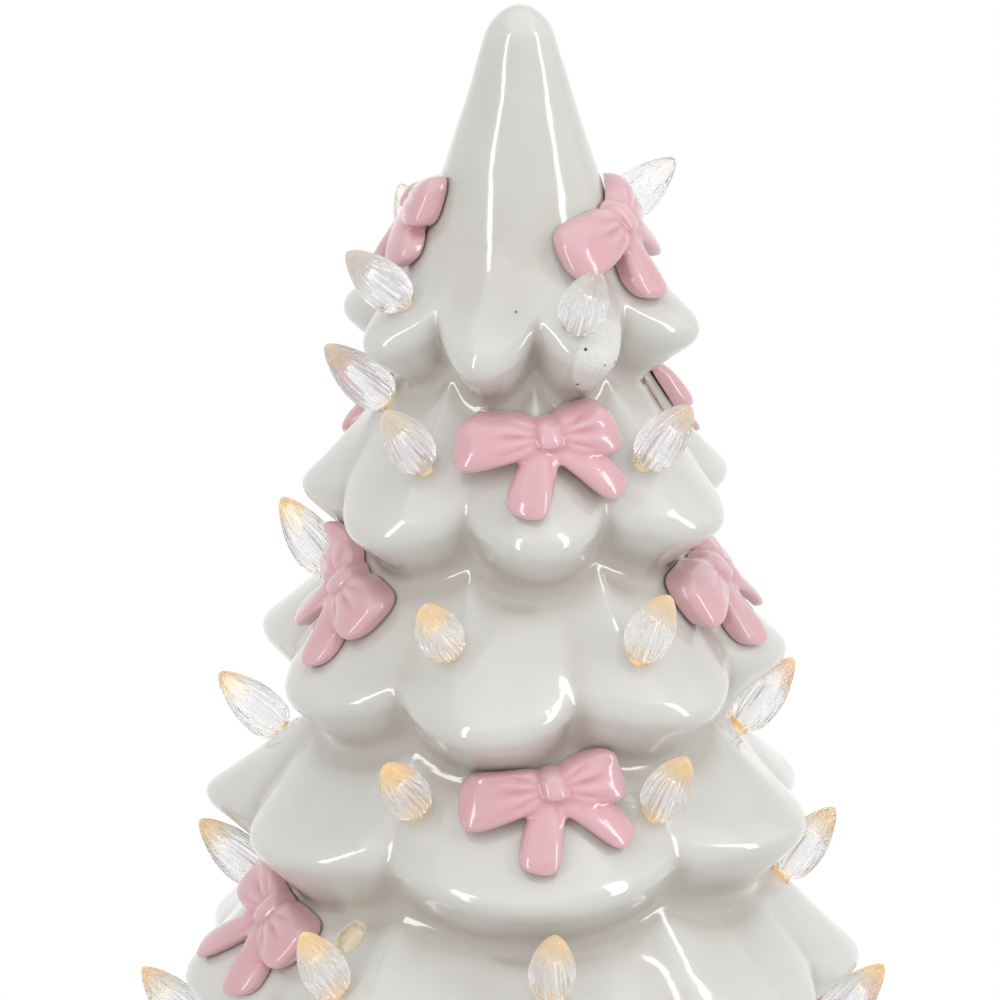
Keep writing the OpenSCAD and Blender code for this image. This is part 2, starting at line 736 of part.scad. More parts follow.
board_r = dome_r - dome_wall - 2 * screw_gap;
module led_board() {
  color("darkgreen")
  translate([0, 0, stem_top]) cylinder(r = board_r, h = board_t);
}

led_ring_r = board_r - 2 * led_r;
led_turns = [0, 90, 180, 270];
module led_emitter() {
  translate([0, 0, stem_top + board_t]) {
    cylinder(r = led_r, h = led_h - led_r);
    translate([0, 0, led_h - led_r]) sphere(r = led_r);
  }
}
module led_emitters() {
  color("khaki") {
    led_emitter();
    for (turn = led_turns) rotate([0, 0, turn]) translate([led_ring_r, 0, 0]) led_emitter();
  }
}

// Frosted dome over the emitters, standing on the stem's seat
dome_z = seat_z + seat_t;
dome_side = dome_h + board_t;
module dome_solid(r, low) {
  translate([0, 0, low]) cylinder(r = r, h = dome_z + dome_side - low);
  intersection() {
    translate([0, 0, dome_z + dome_side]) sphere(r = r);
    translate([-r, -r, dome_z + dome_side - over]) cube([2 * r, 2 * r, r + over]);
  }
}
module light_dome() {
  color("white", 0.7)
  difference() {
    dome_solid(dome_r, dome_z);
    dome_solid(dome_r - dome_wall, dome_z - over);
  }
}

module lamp_wires() {
  color("firebrick")
  for (side = [-1, 1])
    translate([0, side * wire_x, well_top_in]) cylinder(r = wire_r, h = stem_top - well_top_in);
}

// Batteries lie along X, turned end for end; each has a spring at its flat end
nub_r = cell_r * 0.38;
nub_len = 1;
cell_rows = [-1, 0, 1];
module turned_row(row) {
  translate([0, row * cell_pitch, cell_z]) rotate([0, 0, row == 0 ? 180 : 0]) children();
}
module battery_cells() {
  color("goldenrod")
  for (row = cell_rows) turned_row(row)
    translate([-well_in_len / 2 + plate_t, 0, 0]) rotate([0, 90, 0]) {
      cylinder(r = nub_r, h = cell_len);
      translate([0, 0, nub_len]) cylinder(r = cell_r, h = cell_len - nub_len);
    }
}

module battery_plates() {
  plate = [plate_t, cell_r, cell_r];
  color("silver")
  for (row = cell_rows) turned_row(row) for (side = [-1, 1])
    translate([side * (well_in_len - plate_t) / 2, 0, 0]) cube(plate, center = true);
}

spring_wire_r = 0.35;
spring_turns = 3;
spring_rings = 10;
spring_sides = 6;
spring_r = cell_r / 2.2;
function coil_point(t) =
  let(a = 360 * t * spring_turns)
  [t * (spring_len - 2 * spring_wire_r) + spring_wire_r, spring_r * cos(a), spring_r * sin(a)];
function coil_ring(t) =
  let(a = 360 * t * spring_turns, c = coil_point(t), out = [0, cos(a), sin(a)])
  [for (i = [0 : spring_sides - 1]) let(b = 360 * i / spring_sides)
    c + spring_wire_r * (cos(b) * out + sin(b) * [1, 0, 0])];
module coil_spring() {
  steps = spring_turns * spring_rings;
  n = spring_sides;
  polyhedron(
    [for (i = [0 : steps]) each coil_ring(i / steps)],
    concat(
      [for (i = [0 : steps - 1]) each ring_faces(i * n, (i + 1) * n, n)],
      [[for (i = [0 : n - 1]) i], [for (i = [n - 1 : -1 : 0]) steps * n + i]]
    )
  );
}
module battery_springs() {
  color("silver")
  for (row = cell_rows) turned_row(row)
    translate([well_in_len / 2 - plate_t - spring_len, 0, 0]) coil_spring();
}

tree_shell();
ceramic_stand();
felt_ring();
rim_pads();
mounting_ring();
bottom_cover();
cover_screws();
battery_door();
battery_cells();
battery_springs();
battery_plates();
switch_body();
switch_knob();
timer_board();
lamp_stem();
stem_screws();
led_board();
led_emitters();
light_dome();
lamp_wires();
for (k = [0 : tiers - 1])
  bulbs(k);
for (b = bow_places)
  bow(b[1], b[2], b[3], b[4]);
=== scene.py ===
# %% [markdown]
# # A glazed ceramic christmas tree
# The tree is a hollow slip casting with six rings of leaves. Clear plastic bulbs stand in
# holes in its wall, and pink bows are glazed onto it. It stands on a ceramic base with a
# small lamp inside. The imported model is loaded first, as a frame that isn't changed: each
# new piece is built in that frame and takes the place of one of its nodes.

# %% Load the frame
import math
import random

import bpy
import numpy as np
from mathutils import Matrix, Vector
from mathutils.bvhtree import BVHTree


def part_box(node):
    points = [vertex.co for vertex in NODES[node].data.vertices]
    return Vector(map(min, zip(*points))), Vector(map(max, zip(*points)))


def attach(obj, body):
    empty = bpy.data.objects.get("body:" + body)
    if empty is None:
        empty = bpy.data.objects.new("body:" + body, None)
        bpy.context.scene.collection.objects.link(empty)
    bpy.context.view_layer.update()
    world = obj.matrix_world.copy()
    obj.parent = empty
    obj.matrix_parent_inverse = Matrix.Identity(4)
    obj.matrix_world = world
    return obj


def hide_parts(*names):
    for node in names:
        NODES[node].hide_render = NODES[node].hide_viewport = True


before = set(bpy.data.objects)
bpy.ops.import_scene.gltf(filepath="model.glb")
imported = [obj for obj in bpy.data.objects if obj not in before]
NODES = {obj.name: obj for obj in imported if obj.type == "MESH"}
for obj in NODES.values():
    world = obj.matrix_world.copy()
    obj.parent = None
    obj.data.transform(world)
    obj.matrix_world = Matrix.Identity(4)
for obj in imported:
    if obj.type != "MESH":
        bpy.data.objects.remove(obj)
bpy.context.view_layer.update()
MM = 0.001

# %% [markdown]
# ## Camera
# The photograph looks slightly down on the tree through a long lens, and the tree stands a
# little to the right of the middle. A small lens shift moves it there, so that the lens
# itself stays level with the tree's axis.

# %% Camera
CAMERA_ELEVATION = 15
CAMERA_DISTANCE = 1.6
CAMERA_LENS = 230.4
AXIS_SHIFT = -0.02
TIP_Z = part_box("tree_shell")[1].z
LOOK_AT = Vector((0, 0, TIP_Z - 126 * MM))


def add_camera():
    angle = math.radians(CAMERA_ELEVATION)
    back = Vector((0, -math.cos(angle), math.sin(angle)))
    bpy.ops.object.camera_add(location=LOOK_AT + back * CAMERA_DISTANCE)
    camera = bpy.context.object
    camera.rotation_euler = (-back).to_track_quat("-Z", "Y").to_euler()
    camera.data.lens = CAMERA_LENS
    camera.data.shift_x = AXIS_SHIFT
    return camera


bpy.context.scene.camera = add_camera()
print("camera at", tuple(round(c, 3) for c in bpy.context.scene.camera.location))

# %% [markdown]
# ## Node materials in short form
# Every finish below is a small network of shader nodes. Two helpers keep them readable:
# one adds a node and sets its sockets, and one starts a material whose patterns are laid
# out in Object coordinates, so that they stay still when a body moves.

# %% Helpers for materials


def add_node(tree, kind, sockets=None, **settings):
    """A new shader node. A socket is given a value, or another node's output to link."""
    made = tree.nodes.new("ShaderNode" + kind)
    for name, value in settings.items():
        setattr(made, name, value)
    for name, value in (sockets or {}).items():
        if isinstance(value, bpy.types.NodeSocket):
            tree.links.new(value, made.inputs[name])
        else:
            made.inputs[name].default_value = value
    return made


def new_material(name, **sockets):
    """A material with a Principled BSDF. Underscores in socket names stand for spaces."""
    material = bpy.data.materials.new(name)
    material.use_nodes = True
    shader = material.node_tree.nodes["Principled BSDF"]
    for socket, value in sockets.items():
        shader.inputs[socket.replace("_", " ")].default_value = value
    place = add_node(material.node_tree, "TexCoord").outputs["Object"]
    return material, material.node_tree, shader, place


def noise(tree, place, scale, detail=3.0, roughness=0.5):
    sockets = {"Vector": place, "Scale": scale, "Detail": detail, "Roughness": roughness}
    return add_node(tree, "TexNoise", sockets).outputs["Fac"]


def ramp(tree, value, stops):
    """Colours or grey levels at places along a value from 0 to 1."""
    made = add_node(tree, "ValToRGB", {"Fac": value})
    elements = made.color_ramp.elements
    while len(elements) < len(stops):
        elements.new(0.5)
    for element, (at, colour) in zip(elements, stops):
        element.position = at
        element.color = (*colour, 1) if isinstance(colour, tuple) else (colour,) * 3 + (1,)
    return made.outputs["Color"]


def mix(tree, share, low, high, blend="MIX"):
    made = add_node(tree, "Mix", data_type="RGBA", blend_type=blend)
    for index, value in ((0, share), (6, low), (7, high)):
        if isinstance(value, bpy.types.NodeSocket):
            tree.links.new(value, made.inputs[index])
        else:
            made.inputs[index].default_value = (*value, 1) if isinstance(value, tuple) else value
    return made.outputs[2]


def bump(tree, shader, height, distance, strength, *layers):
    """Links a bump to the shader's normal, and to the normals of the layers named."""
    made = add_node(tree, "Bump", {"Height": height, "Distance": distance, "Strength": strength})
    for layer in ("Normal", *layers):
        tree.links.new(made.outputs["Normal"], shader.inputs[layer])


# %% [markdown]
# ## Floor and light
# The photograph has a plain white background, and soft boxes to the left and right that
# draw long narrow highlights on the glaze. The floor is a disc that turns into pure white
# a little way from the tree, and only for the camera and for reflections: the light on the
# object stays at a plain level.

# %% Floor
FLOOR_R = 9.0
SHADOW_NEAR, SHADOW_FAR = 0.13, 0.25
FLOOR_GREY = 0.8


def seen_rays(tree):
    """1 where a ray is the camera's, a reflection's or one through glass."""
    rays = add_node(tree, "LightPath").outputs
    total = None
    for name in ("Is Camera Ray", "Is Glossy Ray", "Is Transmission Ray"):
        value = rays[name]
        if total is not None:
            made = add_node(tree, "Math", operation="MAXIMUM")
            tree.links.new(total, made.inputs[0])
            tree.links.new(value, made.inputs[1])
            value = made.outputs[0]
        total = value
    return total


def product(tree, first, second):
    made = add_node(tree, "Math", operation="MULTIPLY")
    tree.links.new(first, made.inputs[0])
    tree.links.new(second, made.inputs[1])
    return made.outputs[0]


def white_floor():
    material, tree, shader, place = new_material("pale floor", Roughness=0.8)
    radius = add_node(tree, "VectorMath", {0: place}, operation="LENGTH").outputs["Value"]
    far = add_node(tree, "MapRange", {"Value": radius, "From Min": SHADOW_NEAR, "From Max": SHADOW_FAR})
    grain = ramp(tree, noise(tree, place, 40), [(0, FLOOR_GREY - 0.02), (1, FLOOR_GREY + 0.02)])
    tree.links.new(grain, shader.inputs["Base Color"])
    white = add_node(tree, "Emission", {"Color": (1, 1, 1, 1), "Strength": 1.0})
    blend = add_node(tree, "MixShader", {0: product(tree, seen_rays(tree), far.outputs[0])})
    tree.links.new(shader.outputs[0], blend.inputs[1])
    tree.links.new(white.outputs[0], blend.inputs[2])
    tree.links.new(blend.outputs[0], tree.nodes["Material Output"].inputs["Surface"])
    return material


bpy.ops.mesh.primitive_circle_add(vertices=96, radius=FLOOR_R, fill_type="NGON")
floor = bpy.context.object
floor.name = "floor"
floor.data.materials.append(white_floor())
print("floor is", 2 * FLOOR_R, "m across")

# %% Light
WORLD_LEVEL = 0.6
SOFT_BOXES = [
    ("left box", -43, 20, (0.13, 1.1), 3.2),
    ("right box", 62, 20, (0.17, 1.1), 3.6),
    ("top box", 10, 78, (1.8, 1.8), 5.5),
    ("right fill", 85, 35, (1.2, 1.2), 1.5),
]
BOX_DISTANCE = 1.25


def add_soft_box(name, azimuth, elevation, size, power):
    a, e = math.radians(azimuth), math.radians(elevation)
    way = Vector((math.sin(a) * math.cos(e), -math.cos(a) * math.cos(e), math.sin(e)))
    bpy.ops.object.light_add(type="AREA", location=LOOK_AT + way * BOX_DISTANCE)
    light = bpy.context.object
    light.name = name
    light.rotation_euler = way.to_track_quat("Z", "Y").to_euler()
    light.data.shape = "RECTANGLE"
    light.data.size, light.data.size_y = size
    light.data.energy = power
    light.visible_camera = False
    return light


for settings in SOFT_BOXES:
    add_soft_box(*settings)

world = bpy.data.worlds.new("studio")
bpy.context.scene.world = world
world.use_nodes = True
world_tree = world.node_tree
dim = world_tree.nodes["Background"]
dim.inputs["Color"].default_value = (1, 1, 1, 1)
dim.inputs["Strength"].default_value = WORLD_LEVEL
bright = add_node(world_tree, "Background", {"Color": (1, 1, 1, 1), "Strength": 1.0})
both = add_node(world_tree, "MixShader", {0: seen_rays(world_tree)})
world_tree.links.new(dim.outputs[0], both.inputs[1])
world_tree.links.new(bright.outputs[0], both.inputs[2])
world_tree.links.new(both.outputs[0], world_tree.nodes["World Output"].inputs["Surface"])
bpy.context.scene.view_settings.view_transform = "Standard"
print("soft boxes:", [s[0] for s in SOFT_BOXES])

# %% [markdown]
# ## The shell of leaves
# Each tier of the tree is a ring of leaves: from the crease above it the flank runs down
# and out to a round nose, and turns back under it to the next crease. Between two leaves
# the nose is lower in and higher up. That is a rule of azimuth and place down the profile,
# so the shell starts as a flat grid, is rolled into a tube, and each vertex is then moved
# to where the rule puts it, as a sculptor would push it. Smoothing softens the creases as
# the glaze does.

# %% Sizes of the shell
TREE_H = TIP_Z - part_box("tree_shell")[0].z
TREE_R = 98 * MM
WALL = 4.5 * MM
TIP_R = 6.4 * MM
CROWN_H = 43 * MM
CROWN_R = 20 * MM
RIM_R = 76 * MM
RIM_W = 8 * MM
CREASE_IN = 16 * MM
NOSE_UP = 12.5 * MM
VALLEY_IN = 12 * MM
VALLEY_UP = 7 * MM
LEAF_LIFT = 8 * MM
LEAF_REACH = 5 * MM
LEAF_HOLLOW = 1 * MM
CORNER_OUT = 1.2 * MM
TIER_DEPTHS = [0.308, 0.457, 0.603, 0.735, 0.864, 0.983]
TIER_REACHES = [0.47, 0.58, 0.69, 0.796, 0.9, 1]
VALLEYS = [
    [-78, -36, 7, 47, 100, 145, 190, 236],
    [-73, -17, 28, 88, 136, 187, 238],
    [-84, -32, 15, 68, 118, 170, 222],
    [-79, -29, 36, 91, 145, 194, 243],
    [-96, -51, -9, 32, 72, 118, 167, 216],
    [-70, -22, 22, 70, 118, 165, 212, 250],
]
LIFTS = [
    [-0.2, -0.4, -0.2, 0, 0, 0, 0.3, 0.2],
    [0, 0, 0, 0.3, 0.1, 0.4, 0.2],
    [0.1, 0, 0.2, 0.5, 0, 0.3, 0.7],
    [0.6, 0, 0.8, 0.4, 0, 0.4, 0.5],
    [0.4, 0.3, 0, 0.3, 0, 0.4, 0.1, 0.3],
    [0.2, 0, 0, 0.2, 0.3, 0, 0.3, 0.1],
]
REACHES = [
    [0, -0.6, 0, 0.2, 0, 0.1, 0, 0],
    [-0.2, 0, 0.3, 0, 0.2, 0, -0.1],
    [-0.3, 0, -0.2, 0.2, 0, 0.1, 0.6],
    [0.1, -0.2, 0.1, 0, 0.2, 0, 0.8],
    [0, 0, -0.2, 0.2, 0, 0.1, 0, 0],
    [0, 0, 0.2, 0.1, 0, 0.55, -0.3, 0],
]
TIERS = len(VALLEYS)
NOSE_ROUND = 0.13
UNDER_ROUND = 0.28
POINT_POWER = 1.15
POINT_ROUND = 0.3
HANG_POWER = 2.2
CREASE_VALLEY = 0.18
CREASE_LIFT = 0.3
print(TIERS, "tiers with", sum(len(v) for v in VALLEYS), "leaves")

# %% The rule of the leaves


def pointed(across):
    """1 on the middle of a leaf and 0 in its valleys, with a rounded point."""
    bare = POINT_ROUND**POINT_POWER
    rise = (across**2 + POINT_ROUND**2) ** (POINT_POWER / 2) - bare
    return 1 - rise / ((1 + POINT_ROUND**2) ** (POINT_POWER / 2) - bare)


def leaf(tier, azimuth):
    """How far out and how low the leaves of a tier are at an array of azimuths, each from
    0 in a valley to 1 on a leaf's middle, and the extra lift and reach of each leaf."""
    low = np.array(VALLEYS[tier], float)
    turned = low[0] + np.mod(azimuth - low[0], 360)
    index = np.searchsorted(low, turned, side="right") - 1
    high = np.append(low[1:], low[0] + 360)
    across = 2 * (turned - low[index]) / (high - low)[index] - 1
    lift = np.array(LIFTS[tier])[index] * LEAF_LIFT
    reach = np.array(REACHES[tier])[index] * LEAF_REACH
    return pointed(across), 1 - np.abs(across) ** HANG_POWER, lift, reach


def crease(tier, azimuth):
    """Radius and depth of the crease below a tier; tier -1 is the crown's lower end."""
    if tier < 0:
        return np.array([CROWN_R + 0 * azimuth, CROWN_H + 0 * azimuth])
    full, low, lift, _ = leaf(tier, azimuth)
    radius = TREE_R * TIER_REACHES[tier] - CREASE_IN - VALLEY_IN * CREASE_VALLEY * (1 - full)
    depth = TREE_H * TIER_DEPTHS[tier] - VALLEY_UP * (1 - low) - CREASE_LIFT * lift * low
    return np.array([radius, depth])


def corner(tier, azimuth):
    """Radius and depth of the corner that a tier's noses are rounded from."""
    full, low, lift, reach = leaf(tier, azimuth)
    radius = TREE_R * TIER_REACHES[tier] - VALLEY_IN * (1 - full) + reach * full + CORNER_OUT
    depth = TREE_H * TIER_DEPTHS[tier] - NOSE_UP - VALLEY_UP * (1 - low) - lift * low
    return np.array([radius, depth])


def curve(first, pull, last, t):
    return first * (1 - t) ** 2 + pull * 2 * t * (1 - t) + last * t * t


CROWN_SLOPE = (CROWN_R - TIP_R) / CROWN_H
CROWN_RUN = 0.6
HOLLOW_DOWN = 0.6
CROWN_RINGS, CROWN_SPREAD = 34, 1.6
FLANK_RINGS, NOSE_RINGS, UNDER_RINGS = 20, 11, 5
FOOT_STEPS = (0.3, 0.65, 0.95, 1)


def flank(tier, azimuth):
    """The three points of a flank's curve: top, pull and the start of the nose."""
    top, out = crease(tier - 1, azimuth), corner(tier, azimuth)
    start = out + (top - out) * NOSE_ROUND
    run = start - top
    if tier == 0:
        return top, top + np.array([CROWN_SLOPE * run[1], run[1]]) * CROWN_RUN, start
    full = leaf(tier, azimuth)[0]
    return top, top + run / 2 - np.array([full, -HOLLOW_DOWN * full]) * LEAF_HOLLOW, start


def crown_ring(share, azimuth):
    depth = share * CROWN_H
    left = max(1 - depth / (TIP_R * 1.1), 0)
    radius = (TIP_R + CROWN_SLOPE * depth) * math.sqrt(1 - left * left)
    return np.array([radius + 0 * azimuth, depth + 0 * azimuth])


def outer_rings(azimuth):
    """Radius and depth of every ring of the outer surface, from the tip down."""
    rings = [crown_ring(share, azimuth) for share in np.linspace(0, 1, CROWN_RINGS) ** CROWN_SPREAD]
    for tier in range(TIERS):
        top, pull, start = flank(tier, azimuth)
        out, low = corner(tier, azimuth), crease(tier, azimuth)
        end = out + (low - out) * UNDER_ROUND
        rings += [curve(top, pull, start, t) for t in np.linspace(0, 1, FLANK_RINGS + 1)[1:]]
        rings += [curve(start, out, end, t) for t in np.linspace(0, 1, NOSE_RINGS + 1)[1:]]
        rings += [end + (low - end) * t for t in np.linspace(0, 1, UNDER_RINGS + 1)[1:]]
    foot = np.array([RIM_R + 0 * azimuth, TREE_H + 0 * azimuth])
    return rings + [low + (foot - low) * t for t in FOOT_STEPS]


def inner_rings(azimuth):
    """The inside of the wall, from the rim up to the hollow's top."""
    inner = RIM_R - RIM_W
    rings = [(inner + 1 * MM, TREE_H), (inner, TREE_H - 1 * MM), (inner, TREE_H - WALL * 1.4)]
    rings = [np.array([r + 0 * azimuth, d + 0 * azimuth]) for r, d in rings]
    for tier in reversed(range(TIERS)):
        top, low, out = crease(tier - 1, azimuth), crease(tier, azimuth), corner(tier, azimuth)
        if tier < TIERS - 1:
            rings.append(low - np.array([WALL + 0 * azimuth, 0 * azimuth]))
        rings.append(out - np.array([WALL * 2 + 0 * azimuth, WALL * 0.7 + 0 * azimuth]))
        rings.append((top + out) / 2 - np.array([WALL * 1.5 + 0 * azimuth, -WALL * 0.4 + 0 * azimuth]))
    rings.append(crease(-1, azimuth) - np.array([WALL + 0 * azimuth, 0 * azimuth]))
    rings.append(np.array([TIP_R / 2 + 0 * azimuth, TIP_R + WALL * 1.5 + 0 * azimuth]))
    rings.append(np.array([0 * azimuth, TIP_R + WALL + 0 * azimuth]))
    return rings


print("rings:", len(outer_rings(np.zeros(1))), "outside and", len(inner_rings(np.zeros(1))), "inside")

# %% [markdown]
# A few helpers finish every mesh: nothing may stay selected by chance, because operators
# act on all that is selected, and a hollow-and-ridge measure is stored on each vertex. It
# compares the vertex with its smoothed neighbourhood, so the glaze materials know where
# the glaze runs thick and where it runs thin, and where they paint shade into the hollows.

# %% Helpers for meshes


def select_only(*things):
    if bpy.context.mode != "OBJECT":
        bpy.ops.object.mode_set(mode="OBJECT")
    bpy.ops.object.select_all(action="DESELECT")
    for thing in things:
        thing.select_set(True)
    bpy.context.view_layer.objects.active = things[0]


def in_edit_mode(thing, *steps):
    """Runs mesh operators on a whole object: each step is a function without arguments."""
    select_only(thing)
    bpy.ops.object.mode_set(mode="EDIT")
    bpy.ops.mesh.select_all(action="SELECT")
    for step in steps:
        step()
    bpy.ops.object.mode_set(mode="OBJECT")


def store(thing, name, values):
    """Stores one value on each vertex, for the materials or for a later step."""
    layer = thing.data.attributes.get(name) or thing.data.attributes.new(name, "FLOAT", "POINT")
    layer.data.foreach_set("value", np.asarray(values, np.float32))


def points_of(thing):
    flat = np.empty(3 * len(thing.data.vertices))
    thing.data.vertices.foreach_get("co", flat)
    return flat.reshape(-1, 3)


def set_points(thing, points):
    thing.data.vertices.foreach_set("co", np.asarray(points, float).ravel())
    thing.data.update()


def add_modifier(thing, kind, **settings):
    select_only(thing)
    bpy.ops.object.modifier_add(type=kind)
    made = thing.modifiers[-1]
    for name, value in settings.items():
        setattr(made, name, value)
    return made


def apply_modifiers(thing):
    select_only(thing)
    for name in [m.name for m in thing.modifiers]:
        bpy.ops.object.modifier_apply(modifier=name)


def neighbour_mean(points, edges, rounds):
    """Points after a few rounds of moving each to the middle of its neighbours."""
    count = np.bincount(edges.ravel(), minlength=len(points))[:, None]
    for _ in range(rounds):
        total = np.zeros_like(points)
        np.add.at(total, edges[:, 0], points[edges[:, 1]])
        np.add.at(total, edges[:, 1], points[edges[:, 0]])
        points = total / np.maximum(count, 1)
    return points


def mark_hollows(thing, rounds, reach):
    """Stores 'hollow' on each vertex: 0.5 on flat ground, 1 in a hollow, 0 on a ridge."""
    mesh = thing.data
    edges = np.empty(2 * len(mesh.edges), int)
    mesh.edges.foreach_get("vertices", edges)
    normals = np.empty(3 * len(mesh.vertices))
    mesh.vertices.foreach_get("normal", normals)
    points = points_of(thing)
    rise = neighbour_mean(points, edges.reshape(-1, 2), rounds) - points
    height = (rise * normals.reshape(-1, 3)).sum(1) / reach
    store(thing, "hollow", np.clip(0.5 + 0.5 * height, 0, 1))


def finish_piece(thing, name, material, body, *replaced):
    """Names, smooths and dresses a piece, and puts it into the frame in place of nodes."""
    thing.name = name
    thing.data.name = name
    thing.data.materials.clear()
    thing.data.materials.append(material)
    select_only(thing)
    bpy.ops.object.shade_smooth_by_angle(angle=math.radians(50))
    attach(thing, body)
    if replaced:
        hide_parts(*replaced)
    bpy.ops.object.select_all(action="DESELECT")
    print(name, "has", len(thing.data.polygons), "faces")


# %% Roll a grid into a turned shape


def roll_grid(rings, columns):
    """Rolls a flat grid round the upright axis. rings[row] is a pair of arrays with the
    radius and the height of that row at each column; the last column meets the first."""
    bpy.ops.object.select_all(action="DESELECT")
    bpy.ops.mesh.primitive_grid_add(x_subdivisions=columns, y_subdivisions=len(rings) - 1, size=1)
    thing = bpy.context.object
    flat = points_of(thing)
    column = np.rint((flat[:, 0] + 0.5) * columns).astype(int)
    row = np.rint((flat[:, 1] + 0.5) * (len(rings) - 1)).astype(int)
    radius, height = rings[row, 0, column], rings[row, 1, column]
    turn = 2 * np.pi * column / columns
    set_points(thing, np.stack([radius * np.sin(turn), -radius * np.cos(turn), height], 1))
    store(thing, "row", row)
    in_edit_mode(thing, lambda: bpy.ops.mesh.remove_doubles(threshold=0.01 * MM))
    return thing


def smooth_rows(thing, last, rounds):
    """Smooths the rows of a rolled grid up to one of them, and leaves the other rows."""
    row = np.empty(len(thing.data.vertices), np.float32)
    thing.data.attributes["row"].data.foreach_get("value", row)
    select_only(thing)
    for parts in (thing.data.polygons, thing.data.edges):
        parts.foreach_set("select", np.zeros(len(parts), bool))
    thing.data.vertices.foreach_set("select", row <= last)
    bpy.ops.object.mode_set(mode="EDIT")
    bpy.ops.mesh.vertices_smooth(factor=0.5, repeat=rounds)
    bpy.ops.object.mode_set(mode="OBJECT")


# %% Roll the shell
COLUMNS = 300
SOFTEN_ROUNDS = 5
azimuths = np.arange(COLUMNS + 1) * 360 / COLUMNS
outside, inside = outer_rings(azimuths), inner_rings(azimuths)
rings = np.array(outside + inside)
rings[:, 1] = TIP_Z - rings[:, 1]
shell = roll_grid(rings, COLUMNS)
in_edit_mode(shell, lambda: bpy.ops.mesh.normals_make_consistent(inside=False))
smooth_rows(shell, len(outside) - 1, SOFTEN_ROUNDS)
print("shell:", len(shell.data.vertices), "vertices")

# %% [markdown]
# A cast surface under glaze is never quite true. A Displace modifier with a slow clouds
# texture gives the wall its gentle unevenness, which is what makes the long highlights
# waver.

# %% Uneven glaze
WAVE_DEPTH, WAVE_LEVEL = 1.1 * MM, 0.75
waves = bpy.data.textures.new("slow waves", "CLOUDS")
waves.noise_scale = 0.024
waves.noise_depth = 1
add_modifier(
    shell, "DISPLACE", texture=waves, texture_coords="LOCAL", strength=WAVE_DEPTH, mid_level=WAVE_LEVEL
)
apply_modifiers(shell)
print("uneven by up to", round(1000 * WAVE_DEPTH * WAVE_LEVEL, 1), "mm")

# %% [markdown]
# ## Holes for the bulbs
# Each bulb has a round hole that is drilled before the clay is fired, square to the way
# the bulb points. One drill is added per bulb, and a Boolean modifier cuts each out in
# turn. One hole has lost its bulb, and its glazed edge is chipped: its drill is a short
# cone with an uneven rim. The surface is remembered before the holes are cut, because the
# bows are laid on it later.

# %% Places of the bulbs
BULB_TILT = 48
BULB_R, BULB_LEN = 5.7 * MM, 20 * MM
PEG_R, PEG_LEN, PEG_GAP, SHOULDER_GAP = 2.9 * MM, 9 * MM, 0.25 * MM, 1.5 * MM
BULB_PLACES = [
    [(-54, 0.76, -6), (21, 0.86, 0), (115, 0.34, -12), (-146, 0.9, 0)],
    [(-75, 0.36, -4), (-35, 0.62, 0), (46, 0.63, 0), (178, 0.46, 0)],
    [(-100, 0.36, 8), (-20, 0.58, -4), (33, 0.64, 6), (146, 0.42, 0), (-132, 0.52, 0)],
    [(-104, 0.46, -8), (-26, 0.51, -4), (34, 0.55, 4), (98, 0.28, 2), (178, 0.4, 0)],
    [(-92, 0.27, -4), (-37, 0.66, 8), (6, 0.41, 10), (90, 0.28, 4), (130, 0.4, 0), (-170, 0.36, 0),
     (-130, 0.36, 0)],
    [(-95, 0.54, 0), (-36, 0.36, 0), (48, 0.36, 0), (94, 0.3, 0), (145, 0.36, 0), (-178, 0.36, 0),
     (-122, 0.36, 0)],
]
EMPTY_TIER, EMPTY_PLACE = 4, (-40, 0.22, 0)


def flank_point(tier, azimuth, share):
    here = np.array([float(azimuth)])
    radius, depth = curve(*flank(tier, here), share)[:, 0]
    return radius, depth


def bulb_matrix(tier, azimuth, share, lean):
    """Turns a shape that stands on the origin into its place on the tree's flank."""
    radius, depth = flank_point(tier, azimuth, share)
    turn = math.radians(azimuth)
    place = Vector((radius * math.sin(turn), -radius * math.cos(turn), TIP_Z - depth))
    tilt = Matrix.Rotation(math.radians(90 - BULB_TILT - lean), 4, "X")
    return Matrix.Translation(place) @ Matrix.Rotation(turn, 4, "Z") @ tilt


print(sum(len(places) for places in BULB_PLACES), "bulbs")

# %% [markdown]
# ## White glaze
# The glaze is a clear glossy coat over a warm white body. It runs thicker into the
# hollows, and a few iron specks show in it. In the hollows the colour is painted darker
# and warmer: partly the thicker glaze, partly painted shade in the creases under the
# leaves. The hollows come from an attribute that is measured on each finished mesh. Two
# places differ: a round frosted patch on the first tier, and the clay that shows round the
# chipped hole. Inside, the lamp's warm light on the wall of the hollow is painted there as
# a glow, and that glow shows through the hole.

# %% White glaze
SPECK_CELLS, SPECK_SHARE, SPECK_SIZE = 62, 0.1, 0.03
SPECK_BROWN = (0.16, 0.10, 0.05)
FROST_PLACE, FROST_R = (0.0272, -0.0368, 0.2733), 14 * MM
FROST_WHITE = (0.80, 0.80, 0.78)
DIRT_CELLS, DIRT_SHARE, DIRT_SIZE = 420, 0.36, 0.19
DIRT_BLACK = (0.06, 0.05, 0.04)
CLAY_R = 4.6 * MM
COAT_ROUGHNESS = 0.03
LIT_HOLLOW = (0.34, 0.30, 0.24)


def specks(tree, place, cells, share, size):
    """1 on small round dots: one dot at most in each cell, and most cells have none."""
    cell = add_node(tree, "TexVoronoi", {"Vector": place, "Scale": cells, "Randomness": 1.0})
    near = add_node(tree, "Math", {0: cell.outputs["Distance"], 1: size}, operation="LESS_THAN")
    pick = add_node(tree, "SeparateColor", {"Color": cell.outputs["Color"]}).outputs["Red"]
    rare = add_node(tree, "Math", {0: pick, 1: 1 - share}, operation="GREATER_THAN")
    return product(tree, near.outputs[0], rare.outputs[0])


